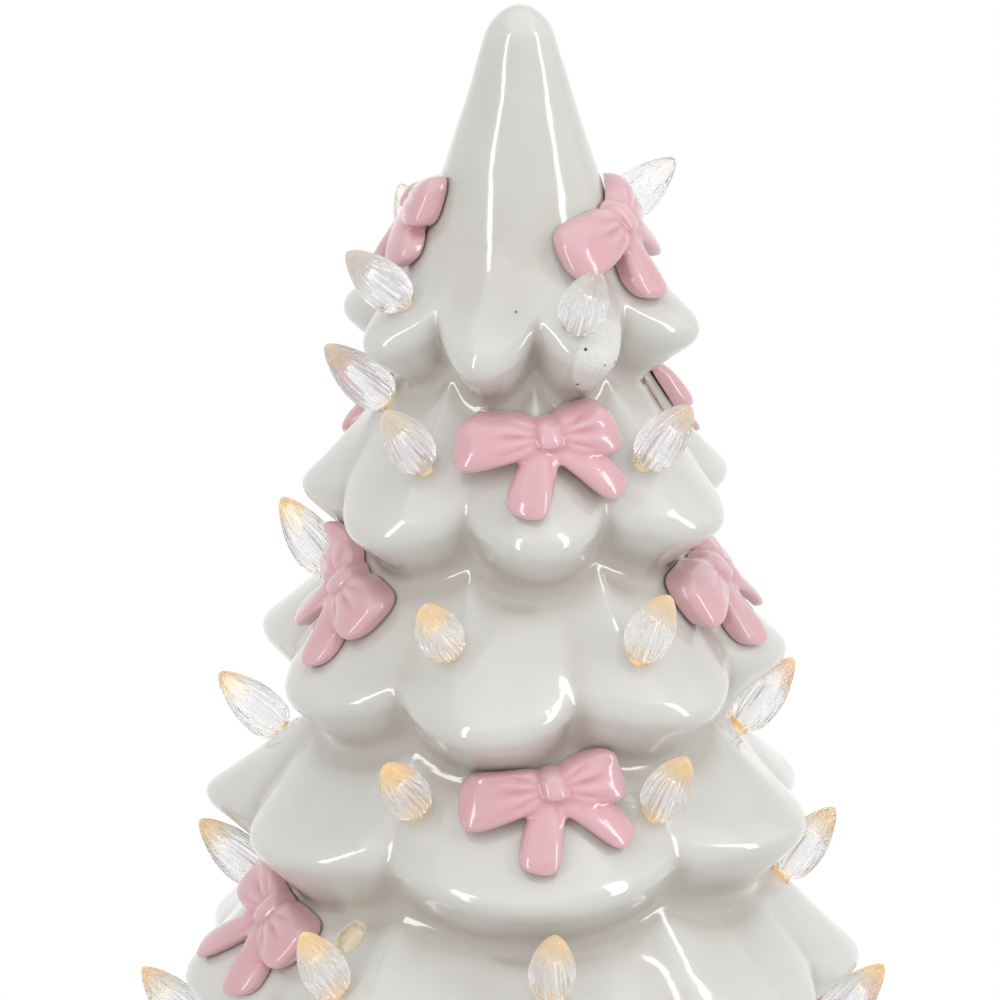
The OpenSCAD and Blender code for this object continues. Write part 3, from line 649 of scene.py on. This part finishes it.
def patch(tree, place, centre, radius, uneven):
    """1 inside a round patch with a slightly uneven edge."""
    offset = add_node(tree, "VectorMath", {0: place, 1: centre}, operation="DISTANCE").outputs["Value"]
    wobble = {0: noise(tree, place, 150, 4), 1: uneven, 2: -uneven / 2}
    wobble = add_node(tree, "Math", wobble, operation="MULTIPLY_ADD").outputs[0]
    reach = add_node(tree, "Math", {0: offset, 1: wobble}, operation="ADD").outputs[0]
    sockets = {"Value": reach, "From Min": radius * 1.06, "From Max": radius, "To Min": 0.0, "To Max": 1.0}
    return add_node(tree, "MapRange", sockets).outputs[0]


def white_glaze(clay_place):
    material, tree, shader, place = new_material(
        "white glaze", Roughness=0.16, IOR=1.5, Coat_Weight=1.0, Coat_Roughness=COAT_ROUGHNESS,
        Emission_Strength=1.0,
    )
    hollow = add_node(tree, "Attribute", attribute_name="hollow").outputs["Fac"]
    # Painted shade: darker and warmer in the hollows, partly pooled glaze and partly painted shade in the
    # creases and under the leaves.
    pooling_and_shade_stops = [(0.3, (0.665, 0.655, 0.622)), (0.5, (0.635, 0.624, 0.586)), (0.85, (0.52, 0.485, 0.435))]
    pooled_glaze_and_painted_shade = ramp(tree, hollow, pooling_and_shade_stops)
    cloud = ramp(tree, noise(tree, place, 22, 4), [(0.3, (0.955, 0.955, 0.94)), (0.7, (1, 1, 1))])
    body = mix(tree, 1.0, pooled_glaze_and_painted_shade, cloud, "MULTIPLY")
    body = mix(tree, specks(tree, place, SPECK_CELLS, SPECK_SHARE, SPECK_SIZE), body, SPECK_BROWN)
    frost = patch(tree, place, FROST_PLACE, FROST_R, 0.006)
    gritty = product(tree, frost, ramp(tree, noise(tree, place, 2600, 2), [(0.35, 0.25), (0.65, 1.0)]))
    body = mix(tree, gritty, body, FROST_WHITE)
    dirt = product(tree, frost, specks(tree, place, DIRT_CELLS, DIRT_SHARE, DIRT_SIZE))
    body = mix(tree, dirt, body, DIRT_BLACK)
    clay = patch(tree, place, clay_place, CLAY_R, 0.003)
    raw = ramp(tree, noise(tree, place, 900, 3), [(0.3, (0.60, 0.50, 0.35)), (0.7, (0.74, 0.66, 0.52))])
    body = mix(tree, clay, body, raw)
    tree.links.new(body, shader.inputs["Base Color"])
    tree.links.new(ramp(tree, frost, [(0, 0.16), (1, 0.6)]), shader.inputs["Roughness"])
    tree.links.new(ramp(tree, frost, [(0, 1.0), (1, 0.1)]), shader.inputs["Coat Weight"])
    # Painted light: the hollow's inner wall glows with an emission that stands in for the lamp's light on
    # it.
    inside = add_node(tree, "Attribute", attribute_name="inside").outputs["Fac"]
    tree.links.new(mix(tree, inside, (0.0, 0.0, 0.0), LIT_HOLLOW), shader.inputs["Emission Color"])
    bump(tree, shader, noise(tree, place, 80, 2), 0.0008, 0.4, "Coat Normal")
    return material


GLAZE = white_glaze(bulb_matrix(EMPTY_TIER, *EMPTY_PLACE).translation)
print("white glaze:", len(GLAZE.node_tree.nodes), "nodes")

# %% Drill the holes
CHIP_R, CHIP_DEPTH = 4.6 * MM, 3.2 * MM
CHIP_CORNERS, CHIP_UNEVEN = 13, (0.72, 1.12)


def surface_tree(thing):
    mesh = thing.data
    faces = [tuple(face.vertices) for face in mesh.polygons]
    return BVHTree.FromPolygons([vertex.co.copy() for vertex in mesh.vertices], faces)


def add_drill(tier, place):
    bpy.ops.mesh.primitive_cylinder_add(vertices=24, radius=PEG_R + PEG_GAP, depth=4 * PEG_LEN)
    bpy.context.object.data.transform(bulb_matrix(tier, *place))
    return bpy.context.object


def add_chip():
    """A short cone with an uneven rim that breaks the edge of the empty hole."""
    uneven = random.Random(4)
    bpy.ops.mesh.primitive_cone_add(
        vertices=CHIP_CORNERS, radius1=PEG_R, radius2=CHIP_R * 1.5, depth=2 * CHIP_DEPTH,
        location=(0, 0, CHIP_DEPTH / 3),
    )
    cone = bpy.context.object
    cone.data.transform(cone.matrix_world)
    cone.matrix_world = Matrix.Identity(4)
    for vertex in cone.data.vertices:
        if vertex.co.z > 0:
            share = uneven.uniform(*CHIP_UNEVEN)
            vertex.co.x *= share
            vertex.co.y *= share
    cone.data.transform(bulb_matrix(EMPTY_TIER, *EMPTY_PLACE))
    return cone


def surface_radius(azimuth, height):
    """Distance from the tree's axis to its glazed surface."""
    way = Vector((math.sin(azimuth), -math.cos(azimuth), 0))
    hit = skin.ray_cast(Vector((0, 0, height)) + way * 0.2, -way)[0]
    return math.hypot(hit.x, hit.y) if hit else 0.0


def mark_inside(thing):
    """Stores 'inside' on each vertex: 0 on the glazed surface and 1 on the hollow's wall."""
    x, y, z = points_of(thing).T
    outer = np.array([surface_radius(math.atan2(a, -b), c) for a, b, c in zip(x, y, z)])
    store(thing, "inside", np.clip((outer - np.hypot(x, y)) / (0.8 * WALL), 0, 1))


skin = surface_tree(shell)
drills = [add_drill(tier, place) for tier, places in enumerate(BULB_PLACES) for place in places]
for drill in drills + [add_drill(EMPTY_TIER, EMPTY_PLACE), add_chip()]:
    add_modifier(shell, "BOOLEAN", operation="DIFFERENCE", object=drill, solver="MANIFOLD")
    apply_modifiers(shell)
    bpy.data.objects.remove(drill)
mark_hollows(shell, 24, 1.2 * MM)
mark_inside(shell)
finish_piece(shell, "glazed_tree", GLAZE, "tree", "tree_shell")

# %% [markdown]
# ## Clear bulbs
# A bulb is a fluted drop of clear plastic with a peg below and a hollow core, which leads
# the lamp's light up to its tip: that is why the tips look amber. That light is painted
# in: an amber tint in the colour and a warm glow, most at the tip and some at the foot.
# The bulb is rolled from a grid as the shell was, from the tip down the outside, round the
# end of the peg and up the core, so the plastic is one closed wall. Two values are stored
# on each vertex, for the material: the place along the bulb, and how much painted light
# this bulb gets.

# %% Shape of a bulb
FLUTES = 20
FLUTE_COLUMNS = 5
FLUTE_DEPTH = 0.085
FLUTE_TWIST = 22
BULB_OUTLINE = [
    (1, 0.0), (0.995, 0.07), (0.975, 0.17), (0.94, 0.28), (0.88, 0.42), (0.80, 0.56), (0.70, 0.71),
    (0.60, 0.84), (0.50, 0.93), (0.40, 0.985), (0.31, 1.0), (0.22, 0.985), (0.14, 0.93), (0.07, 0.84),
    (0.025, 0.72), (0, 0.6),
]
CORE_OUTLINE = [(0.1, 0.34), (0.3, 0.34), (0.45, 0.3), (0.56, 0.22), (0.6, 0.12), (0.615, 0.0)]
FOOT_GAP = 0.4 * MM


def bulb_height(share):
    return FOOT_GAP + share * (SHOULDER_GAP + BULB_LEN - FOOT_GAP)


def bulb_rings():
    turn = np.arange(FLUTES * FLUTE_COLUMNS + 1) / (FLUTES * FLUTE_COLUMNS) * 2 * np.pi
    flat = np.ones_like(turn)
    rings = []
    for height, width in BULB_OUTLINE:
        fade = min(width / 0.5, 1) * min((1 - height) / 0.12, 1)
        twist = math.radians(FLUTE_TWIST) * height
        flute = np.abs(np.cos((turn + twist) * FLUTES / 2)) - 0.6
        rings.append((BULB_R * width * (1 + FLUTE_DEPTH * fade * flute), bulb_height(height) * flat))
    peg = [(0.98, FOOT_GAP), (1, 0), (1, -PEG_LEN * 0.6), (0.96, -PEG_LEN), (0.62, -PEG_LEN), (0.6, 0)]
    rings += [(PEG_R * width * flat, height * flat) for width, height in peg]
    rings += [(BULB_R * width * flat, bulb_height(height) * flat) for height, width in CORE_OUTLINE]
    return np.array(rings)


def add_bulb():
    bulb = roll_grid(bulb_rings(), FLUTES * FLUTE_COLUMNS)
    in_edit_mode(bulb, lambda: bpy.ops.mesh.normals_make_consistent(inside=False))
    height = points_of(bulb)[:, 2]
    store(bulb, "along", np.clip((height - FOOT_GAP) / (SHOULDER_GAP + BULB_LEN - FOOT_GAP), 0, 1))
    return bulb


pattern_bulb = add_bulb()
print("one bulb:", len(pattern_bulb.data.polygons), "faces")

# %% Clear plastic
AMBER, PAINTED_AMBER_LIGHT = (1.0, 0.60, 0.17), (0.96, 0.74, 0.38)
TIP_GLOW = 0.22


def clear_plastic():
    material, tree, shader, place = new_material(
        "clear fluted plastic", Roughness=0.06, IOR=1.46, Transmission_Weight=0.88, Emission_Strength=1.0
    )
    along = add_node(tree, "Attribute", attribute_name="along").outputs["Fac"]
    lit = add_node(tree, "Attribute", attribute_name="lit").outputs["Fac"]
    # Painted light: an amber tint and a warm glow, most at the tip and some at the foot, stand in for the
    # lamp's light led up the core.
    tip = ramp(tree, along, [(0.0, 0.75), (0.07, 0.1), (0.5, 0.0), (0.66, 0.35), (0.82, 0.8), (1.0, 1.0)])
    swirl = ramp(tree, noise(tree, place, 260, 3), [(0.35, 0.35), (0.65, 1.0)])
    painted_lamp_light = product(tree, product(tree, tip, swirl), lit)
    haze = ramp(tree, noise(tree, place, 700, 2), [(0.3, (0.93, 0.94, 0.965)), (0.7, (0.985, 0.99, 1.0))])
    tree.links.new(mix(tree, painted_lamp_light, haze, PAINTED_AMBER_LIGHT), shader.inputs["Base Color"])
    glow = mix(tree, painted_lamp_light, (0.02, 0.02, 0.023), tuple(TIP_GLOW * c for c in AMBER))
    tree.links.new(glow, shader.inputs["Emission Color"])
    bump(tree, shader, noise(tree, place, 900, 2), 0.00008, 0.5)
    return material


CLEAR = clear_plastic()
print("clear plastic:", len(CLEAR.node_tree.nodes), "nodes")

# %% Set the bulbs into their holes
LIT_BY_TIER = [0.25, 0.5, 0.85, 0.95, 1.0, 1.0]
LIT_UNEVEN = (0.75, 1.1)


def copy_of(thing):
    made = thing.copy()
    made.data = thing.data.copy()
    bpy.context.scene.collection.objects.link(made)
    return made


def join_pieces(pieces):
    select_only(*pieces)
    bpy.ops.object.join()
    return bpy.context.object


spin = random.Random(12)
for tier, places in enumerate(BULB_PLACES):
    made = []
    for place in places:
        bulb = copy_of(pattern_bulb)
        bulb.data.transform(Matrix.Rotation(spin.uniform(0, math.tau), 4, "Z"))
        bulb.data.transform(bulb_matrix(tier, *place))
        store(bulb, "lit", np.full(len(bulb.data.vertices), LIT_BY_TIER[tier] * spin.uniform(*LIT_UNEVEN)))
        made.append(bulb)
    bulbs = join_pieces(made)
    finish_piece(bulbs, f"fluted_bulbs_tier_{tier + 1}", CLEAR, "tree", f"bulbs_tier_{tier + 1}")
bpy.data.objects.remove(pattern_bulb)

# %% [markdown]
# ## Pink bows
# Every bow comes out of the same mould: two full loops, a knot and two tails. The left
# loop and tail are the longer ones. Each part starts as a ball that is pressed into a
# rounded block and moved to its place; a voxel remesh melts them into one clay body, and
# smoothing rounds the joins. A few pleats are then pressed in round the knot.

# %% Model one bow
BOW_VOXEL = 0.55 * MM
BLOCK_POWERS = (0.62, 0.8, 0.62)


def pressed_ball(shape):
    """A ball pressed into a rounded block; shape moves its points from -1..1 to metres."""
    bpy.ops.mesh.primitive_uv_sphere_add(segments=48, ring_count=28, radius=1)
    ball = bpy.context.object
    p = points_of(ball)
    block = np.sign(p) * np.abs(p) ** np.array(BLOCK_POWERS)
    set_points(ball, shape(*block.T) * MM)
    return ball


def bow_loop(side, length, low, high):
    def shape(u, v, w):
        t = (u + 1) / 2
        middle = 0.3 + ((low + high) / 2 - 0.3) * t
        half = 5.0 + ((high - low) / 2 - 5.0) * t ** 0.9 - 0.3 * np.sin(np.pi * t)
        out = 1.4 + v * -(3.8 + 1.6 * t)
        return np.stack([side * (1 + (length - 1) * t), -out, middle + w * half], 1)
    return shape


def bow_tail(end_x, end_z, swing):
    def shape(u, v, w):
        t = (u + 1) / 2
        along = np.array([end_x, end_z + 1.5])
        across = np.array([along[1], -along[0]]) / np.hypot(*along)
        bend = swing * np.sin(np.pi * t)
        half = 4.0 + 1.0 * t
        x = along[0] * t + across[0] * (bend + w * half)
        z = -1.5 + along[1] * t + across[1] * (bend + w * half)
        return np.stack([x, -(0.9 - v * (3.6 + 0.3 * t)), z], 1)
    return shape


def bow_knot(u, v, w):
    return np.stack([3.3 * u, -(1.8 - 4.6 * v), 0.5 + 4.3 * w], 1)


parts = [
    bow_loop(-1, 23.2, -11.2, 6.8), bow_loop(1, 18.6, -8.8, 8.2),
    bow_tail(-7.6, -20.8, 0.6), bow_tail(14.4, -17.8, -1.4), bow_knot,
]
bpy.ops.object.select_all(action="DESELECT")
bow = join_pieces([pressed_ball(shape) for shape in parts])
add_modifier(bow, "REMESH", mode="VOXEL", voxel_size=BOW_VOXEL)
apply_modifiers(bow)
in_edit_mode(bow, lambda: bpy.ops.mesh.vertices_smooth(factor=0.5, repeat=5))
print("one bow:", len(bow.data.polygons), "faces")

# %% Press the pleats in
PLEATS = [(156, 0.6), (177, 0.75), (200, 0.5), (26, 0.6), (4, 0.8), (-22, 0.65), (78, 0.3), (-95, 0.5)]
PLEAT_WIDTH = 5.5
PLEAT_MIDDLE, PLEAT_RUN = 8.0 * MM, 4.2 * MM


def press_pleats(points):
    far = np.hypot(points[:, 0], points[:, 2])
    angle = np.degrees(np.arctan2(points[:, 2], points[:, 0]))
    front = np.clip(-points[:, 1] / (3 * MM), 0, 1)
    for turn, deep in PLEATS:
        off = np.abs((angle - turn + 180) % 360 - 180)
        dent = np.exp(-((off / PLEAT_WIDTH) ** 2) - ((far - PLEAT_MIDDLE) / PLEAT_RUN) ** 2)
        points[:, 1] += deep * MM * dent * front
    points[:, 1] = np.minimum(points[:, 1], 0)
    return points


set_points(bow, press_pleats(points_of(bow)))
in_edit_mode(bow, lambda: bpy.ops.mesh.vertices_smooth(factor=0.4, repeat=1))
mark_hollows(bow, 10, 0.5 * MM)
print("pleats:", len(PLEATS))

# %% Pink glaze


def pink_glaze():
    material, tree, shader, place = new_material(
        "pink glaze", Roughness=0.2, IOR=1.5, Coat_Weight=1.0, Coat_Roughness=COAT_ROUGHNESS
    )
    hollow = add_node(tree, "Attribute", attribute_name="hollow").outputs["Fac"]
    # Painted shade: darker in the hollows, partly pooled glaze and partly painted shade between the loops,
    # knot and pleats.
    pooling_and_shade_stops = [(0.2, (0.73, 0.445, 0.475)), (0.5, (0.69, 0.36, 0.395)), (0.8, (0.61, 0.25, 0.295))]
    pooled_glaze_and_painted_shade = ramp(tree, hollow, pooling_and_shade_stops)
    cloud = ramp(tree, noise(tree, place, 60, 4), [(0.3, (0.95, 0.95, 0.95)), (0.7, (1, 1, 1))])
    body = mix(tree, 1.0, pooled_glaze_and_painted_shade, cloud, "MULTIPLY")
    body = mix(tree, specks(tree, place, 190, 0.05, 0.035), body, (0.45, 0.2, 0.22))
    tree.links.new(body, shader.inputs["Base Color"])
    bump(tree, shader, noise(tree, place, 240, 2), 0.0003, 0.3, "Coat Normal")
    return material


PINK = pink_glaze()
print("pink glaze:", len(PINK.node_tree.nodes), "nodes")

# %% [markdown]
# The soft bow is pressed onto the leaves before firing. To do the same, each copy is
# wrapped round the tree's axis at its place, and every point looks inwards for the
# surface below it: the back of the bow lies on that surface, while the front keeps the
# bow's own shape, as clay that bridges the hollows.

# %% Lay the bows on the tree
BOW_GAP = 0.75 * MM
LOOP_T = 7.5 * MM
FLANK_LEAN = math.radians(33)
BLEND_T = 2.2 * MM
SEAT_SOFT = 0.7 * MM
BOW_PLACES = [
    ("bow_1_right", 0, 66, 0.23, 14), ("bow_1_left", 0, -99, 0.17, 8), ("bow_1_back", 0, 170, 0.33, 0),
    ("bow_2_front", 1, 10, 0.33, 3), ("bow_2_right", 1, 133, 0.25, -4), ("bow_2_left", 1, -133, 0.3, 6),
    ("bow_3_left", 2, -65, 0.22, -24), ("bow_3_right", 2, 82, 0.28, 8), ("bow_3_back", 2, -171, 0.3, 0),
    ("bow_4_front", 3, 8, 0.15, 8), ("bow_4_right", 3, 138, 0.3, -6), ("bow_4_left", 3, -139, 0.36, 6),
    ("bow_5_left", 4, -64, 0.17, -22), ("bow_5_back", 4, 162, 0.3, 6),
    ("bow_6_front", 5, 4, 0.21, 4), ("bow_6_right", 5, 122, 0.3, -6), ("bow_6_left", 5, -148, 0.3, 6),
]


def lay_bow(thing, tier, azimuth, share, turn):
    radius, depth = flank_point(tier, azimuth, share)
    turn, azimuth = math.radians(turn), math.radians(azimuth)
    placed = []
    for x, y, z in points_of(thing):
        aside = x * math.cos(turn) - z * math.sin(turn)
        up = x * math.sin(turn) + z * math.cos(turn)
        angle = azimuth + aside / (radius + LOOP_T / 2)
        height = TIP_Z - depth + up * math.cos(FLANK_LEAN)
        seat = surface_radius(angle, height)
        line = radius - up * math.sin(FLANK_LEAN)
        base = (line + seat) / 2 + math.hypot((line - seat) / 2, SEAT_SOFT) - SEAT_SOFT / 2
        share_out = min(-y / BLEND_T, 1)
        share_out = share_out * share_out * (3 - 2 * share_out)
        far = (seat + (base - y - seat) * share_out) + BOW_GAP
        placed.append((far * math.sin(angle), -far * math.cos(angle), height))
    set_points(thing, placed)


for name, *place in BOW_PLACES:
    made = copy_of(bow)
    lay_bow(made, *place)
    in_edit_mode(made, lambda: bpy.ops.mesh.vertices_smooth(factor=0.4, repeat=2))
    finish_piece(made, "glazed_" + name, PINK, "tree", name)
bpy.data.objects.remove(bow)

# %% [markdown]
# ## The stand
# The stand is lathed: its outline is drawn as a few corners, divided into short steps,
# rounded by smoothing where the glaze rounds the clay, and rolled round the axis. It gets
# the same glaze as the tree.

# %% Roll the stand
STAND_OUTLINE = [
    (63.7, 2), (72.3, 2), (75.4, 3.2), (77, 6.5), (76, 10), (71.9, 12.9), (62.9, 17.1), (53.9, 22),
    (49, 28), (47, 34), (48.9, 40), (56.7, 45.2), (69.5, 48), (76.7, 49.5), (78.2, 51.7), (76.7, 54),
    (66.5, 54), (66.5, 59.2), (65.7, 60), (62, 60), (62, 54), (14.5, 54), (14.5, 48.6), (47, 46.3),
    (42.5, 39.6), (42.5, 32.2), (44.8, 24.9), (61.2, 12.9), (63.7, 6.7), (63.7, 2),
]
FOOT_FACE = 2
STAND_STEP = 1.2
STAND_COLUMNS = 180
RIPPLE_DEPTH, RIPPLE_LEVEL = 0.3 * MM, 0.9


def fine_outline(corners, step):
    """Short steps between the corners, rounded, with the foot's face for the felt kept flat."""
    points = []
    for first, last in zip(corners, corners[1:]):
        count = max(round(math.dist(first, last) / step), 1)
        run = np.array(last) - np.array(first)
        points += [np.array(first) + run * i / count for i in range(count)]
    points = np.array(points)
    for _ in range(3):
        points = (np.roll(points, 1, 0) + 2 * points + np.roll(points, -1, 0)) / 4
    points[:, 1] = np.maximum(points[:, 1], FOOT_FACE)
    return np.vstack([points, points[:1]]) * MM


outline = fine_outline(STAND_OUTLINE, STAND_STEP)
around = np.ones(STAND_COLUMNS + 1)
stand = roll_grid(np.array([(r * around, z * around) for r, z in outline]), STAND_COLUMNS)
in_edit_mode(stand, lambda: bpy.ops.mesh.normals_make_consistent(inside=False))
ripples = bpy.data.textures.new("faint ripples", "CLOUDS")
ripples.noise_scale = 0.03
add_modifier(
    stand, "DISPLACE", texture=ripples, texture_coords="LOCAL", strength=RIPPLE_DEPTH, mid_level=RIPPLE_LEVEL
)
apply_modifiers(stand)
mark_hollows(stand, 16, 1.2 * MM)
finish_piece(stand, "glazed_stand", GLAZE, "stand", "ceramic_stand")

# %% [markdown]
# ## Finishes for the parts that stay
# Felt, clear pads, moulded plastic, sheet metal, circuit boards, cells, wires and the lamp
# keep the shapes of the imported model. Each gets a procedural finish at its own scale: fibres
# for felt, fine grain for plastic, brushed streaks for metal.

# %% Felt, pads and plastics


def felt():
    material, tree, shader, place = new_material("grey felt", Roughness=0.95)
    fibre = noise(tree, place, 1800, 6, 0.7)
    greys = [(0.3, (0.03, 0.03, 0.032)), (0.7, (0.11, 0.11, 0.115))]
    tree.links.new(ramp(tree, fibre, greys), shader.inputs["Base Color"])
    shader.inputs["Sheen Weight"].default_value = 0.4
    bump(tree, shader, fibre, 0.0004, 0.8)
    return material


def clear_pads():
    material, tree, shader, place = new_material(
        "clear soft pads", Roughness=0.25, Transmission_Weight=0.7, IOR=1.45
    )
    haze = ramp(tree, noise(tree, place, 500, 3), [(0.3, (0.80, 0.82, 0.82)), (0.7, (0.92, 0.93, 0.93))])
    tree.links.new(haze, shader.inputs["Base Color"])
    return material


def plastic(name, low, high, gloss=0.45):
    """Moulded plastic with a fine spark-eroded grain and slight wear."""
    material, tree, shader, place = new_material(name, IOR=1.5)
    cloud = noise(tree, place, 45, 4)
    tree.links.new(ramp(tree, cloud, [(0.3, low), (0.7, high)]), shader.inputs["Base Color"])
    wear = ramp(tree, noise(tree, place, 300, 3), [(0.3, gloss - 0.08), (0.7, gloss + 0.1)])
    tree.links.new(wear, shader.inputs["Roughness"])
    bump(tree, shader, noise(tree, place, 2200, 2), 0.00005, 0.4)
    return material


FELT, CLEAR_PADS = felt(), clear_pads()
PALE_PLASTIC = plastic("pale moulded plastic", (0.60, 0.60, 0.58), (0.68, 0.68, 0.655))
WHITE_PLASTIC = plastic("white moulded plastic", (0.70, 0.70, 0.68), (0.78, 0.78, 0.76), 0.35)
DARK_PLASTIC = plastic("dark moulded plastic", (0.018, 0.018, 0.02), (0.04, 0.04, 0.042), 0.4)
print("felt, pads and three plastics")

# %% Metal, boards, cells, wires and lamp


def metal(name, tint, streaks, rough):
    """Plated or drawn metal: streaks of roughness along one axis."""
    material, tree, shader, place = new_material(name, Metallic=1.0)
    stretched = add_node(tree, "Mapping", {"Vector": place, "Scale": streaks}).outputs["Vector"]
    lines = noise(tree, stretched, 500, 4)
    darker = tuple(0.78 * c for c in tint)
    tree.links.new(ramp(tree, lines, [(0.3, darker), (0.7, tint)]), shader.inputs["Base Color"])
    tree.links.new(ramp(tree, lines, [(0.3, rough), (0.7, rough + 0.15)]), shader.inputs["Roughness"])
    bump(tree, shader, lines, 0.00003, 0.4)
    return material


def circuit_board():
    material, tree, shader, place = new_material("green circuit board", Roughness=0.35, IOR=1.5)
    tracks = add_node(tree, "TexBrick", {
        "Vector": place, "Scale": 260.0, "Mortar Size": 0.03, "Color1": (0.012, 0.10, 0.045, 1),
        "Color2": (0.016, 0.13, 0.06, 1), "Mortar": (0.03, 0.22, 0.09, 1),
    })
    dots = specks(tree, place, 420, 0.35, 0.16)
    tree.links.new(mix(tree, dots, tracks.outputs["Color"], (0.65, 0.66, 0.62)), shader.inputs["Base Color"])
    bump(tree, shader, tracks.outputs["Fac"], 0.00005, 0.5)
    return material


def cell_wrap():
    """Shrink wrap on the cells: a dark sleeve with a coloured band at one end."""
    material, tree, shader, place = new_material("cell sleeve", Roughness=0.3, IOR=1.5)
    along = add_node(tree, "SeparateXYZ", {"Vector": place}).outputs["X"]
    share = add_node(tree, "MapRange", {"Value": along, "From Min": -0.026, "From Max": 0.026}).outputs[0]
    band = ramp(tree, share, [
        (0.0, (0.55, 0.53, 0.50)), (0.04, (0.35, 0.17, 0.03)),
        (0.7, (0.42, 0.2, 0.04)), (0.74, (0.02, 0.02, 0.022)),
    ])
    scuff = ramp(tree, noise(tree, place, 160, 4), [(0.3, (0.85, 0.85, 0.85)), (0.7, (1, 1, 1))])
    tree.links.new(mix(tree, 1.0, band, scuff, "MULTIPLY"), shader.inputs["Base Color"])
    return material


def wire_sleeve():
    material, tree, shader, place = new_material("wire sleeve", Roughness=0.4, IOR=1.5)
    side = add_node(tree, "SeparateXYZ", {"Vector": place}).outputs["Y"]
    share = add_node(tree, "MapRange", {"Value": side, "From Min": -0.003, "From Max": 0.003}).outputs[0]
    colours = ramp(tree, share, [(0.45, (0.42, 0.02, 0.015)), (0.55, (0.02, 0.02, 0.02))])
    dust = ramp(tree, noise(tree, place, 700, 3), [(0.3, (0.8, 0.8, 0.8)), (0.7, (1, 1, 1))])
    tree.links.new(mix(tree, 1.0, colours, dust, "MULTIPLY"), shader.inputs["Base Color"])
    return material


def lamp_glow(name, strength, colour, patches):
    """Frosted plastic that glows warmly, a little unevenly."""
    material, tree, shader, place = new_material(name, Roughness=0.45, IOR=1.46, Emission_Strength=strength)
    cloud = noise(tree, place, patches, 3)
    dim = tuple(0.75 * c for c in colour)
    tree.links.new(ramp(tree, cloud, [(0.3, dim), (0.7, colour)]), shader.inputs["Emission Color"])
    frosted = [(0.3, (0.80, 0.78, 0.72)), (0.7, (0.90, 0.88, 0.82))]
    tree.links.new(ramp(tree, cloud, frosted), shader.inputs["Base Color"])
    return material


STEEL = metal("plated steel", (0.70, 0.70, 0.71), (1, 1, 8), 0.25)
NICKEL = metal("nickel strip", (0.72, 0.70, 0.66), (1, 8, 1), 0.2)
BOARD, SLEEVE, CELL = circuit_board(), wire_sleeve(), cell_wrap()
DOME = lamp_glow("frosted lamp dome", 0.45, (1.0, 0.62, 0.26), 120)
EMITTER = lamp_glow("warm light emitter", 12.0, (1.0, 0.72, 0.40), 400)
print("metals, boards, cells, wires and lamp")

# %% Dress the parts that stay
FINISHES = {
    "felt_ring": FELT, "rim_pads": CLEAR_PADS, "mounting_ring": PALE_PLASTIC, "bottom_cover": PALE_PLASTIC,
    "cover_screws": STEEL, "battery_door": WHITE_PLASTIC, "battery_cells": CELL, "battery_springs": STEEL,
    "battery_plates": NICKEL, "switch_body": DARK_PLASTIC, "switch_knob": DARK_PLASTIC, "timer_board": BOARD,
    "lamp_stem": WHITE_PLASTIC, "stem_screws": STEEL, "led_board": BOARD, "led_emitters": EMITTER,
    "light_dome": DOME, "lamp_wires": SLEEVE,
}
for name, finish in FINISHES.items():
    for place in NODES[name].material_slots:
        place.material = finish
print(len(FINISHES), "parts dressed")
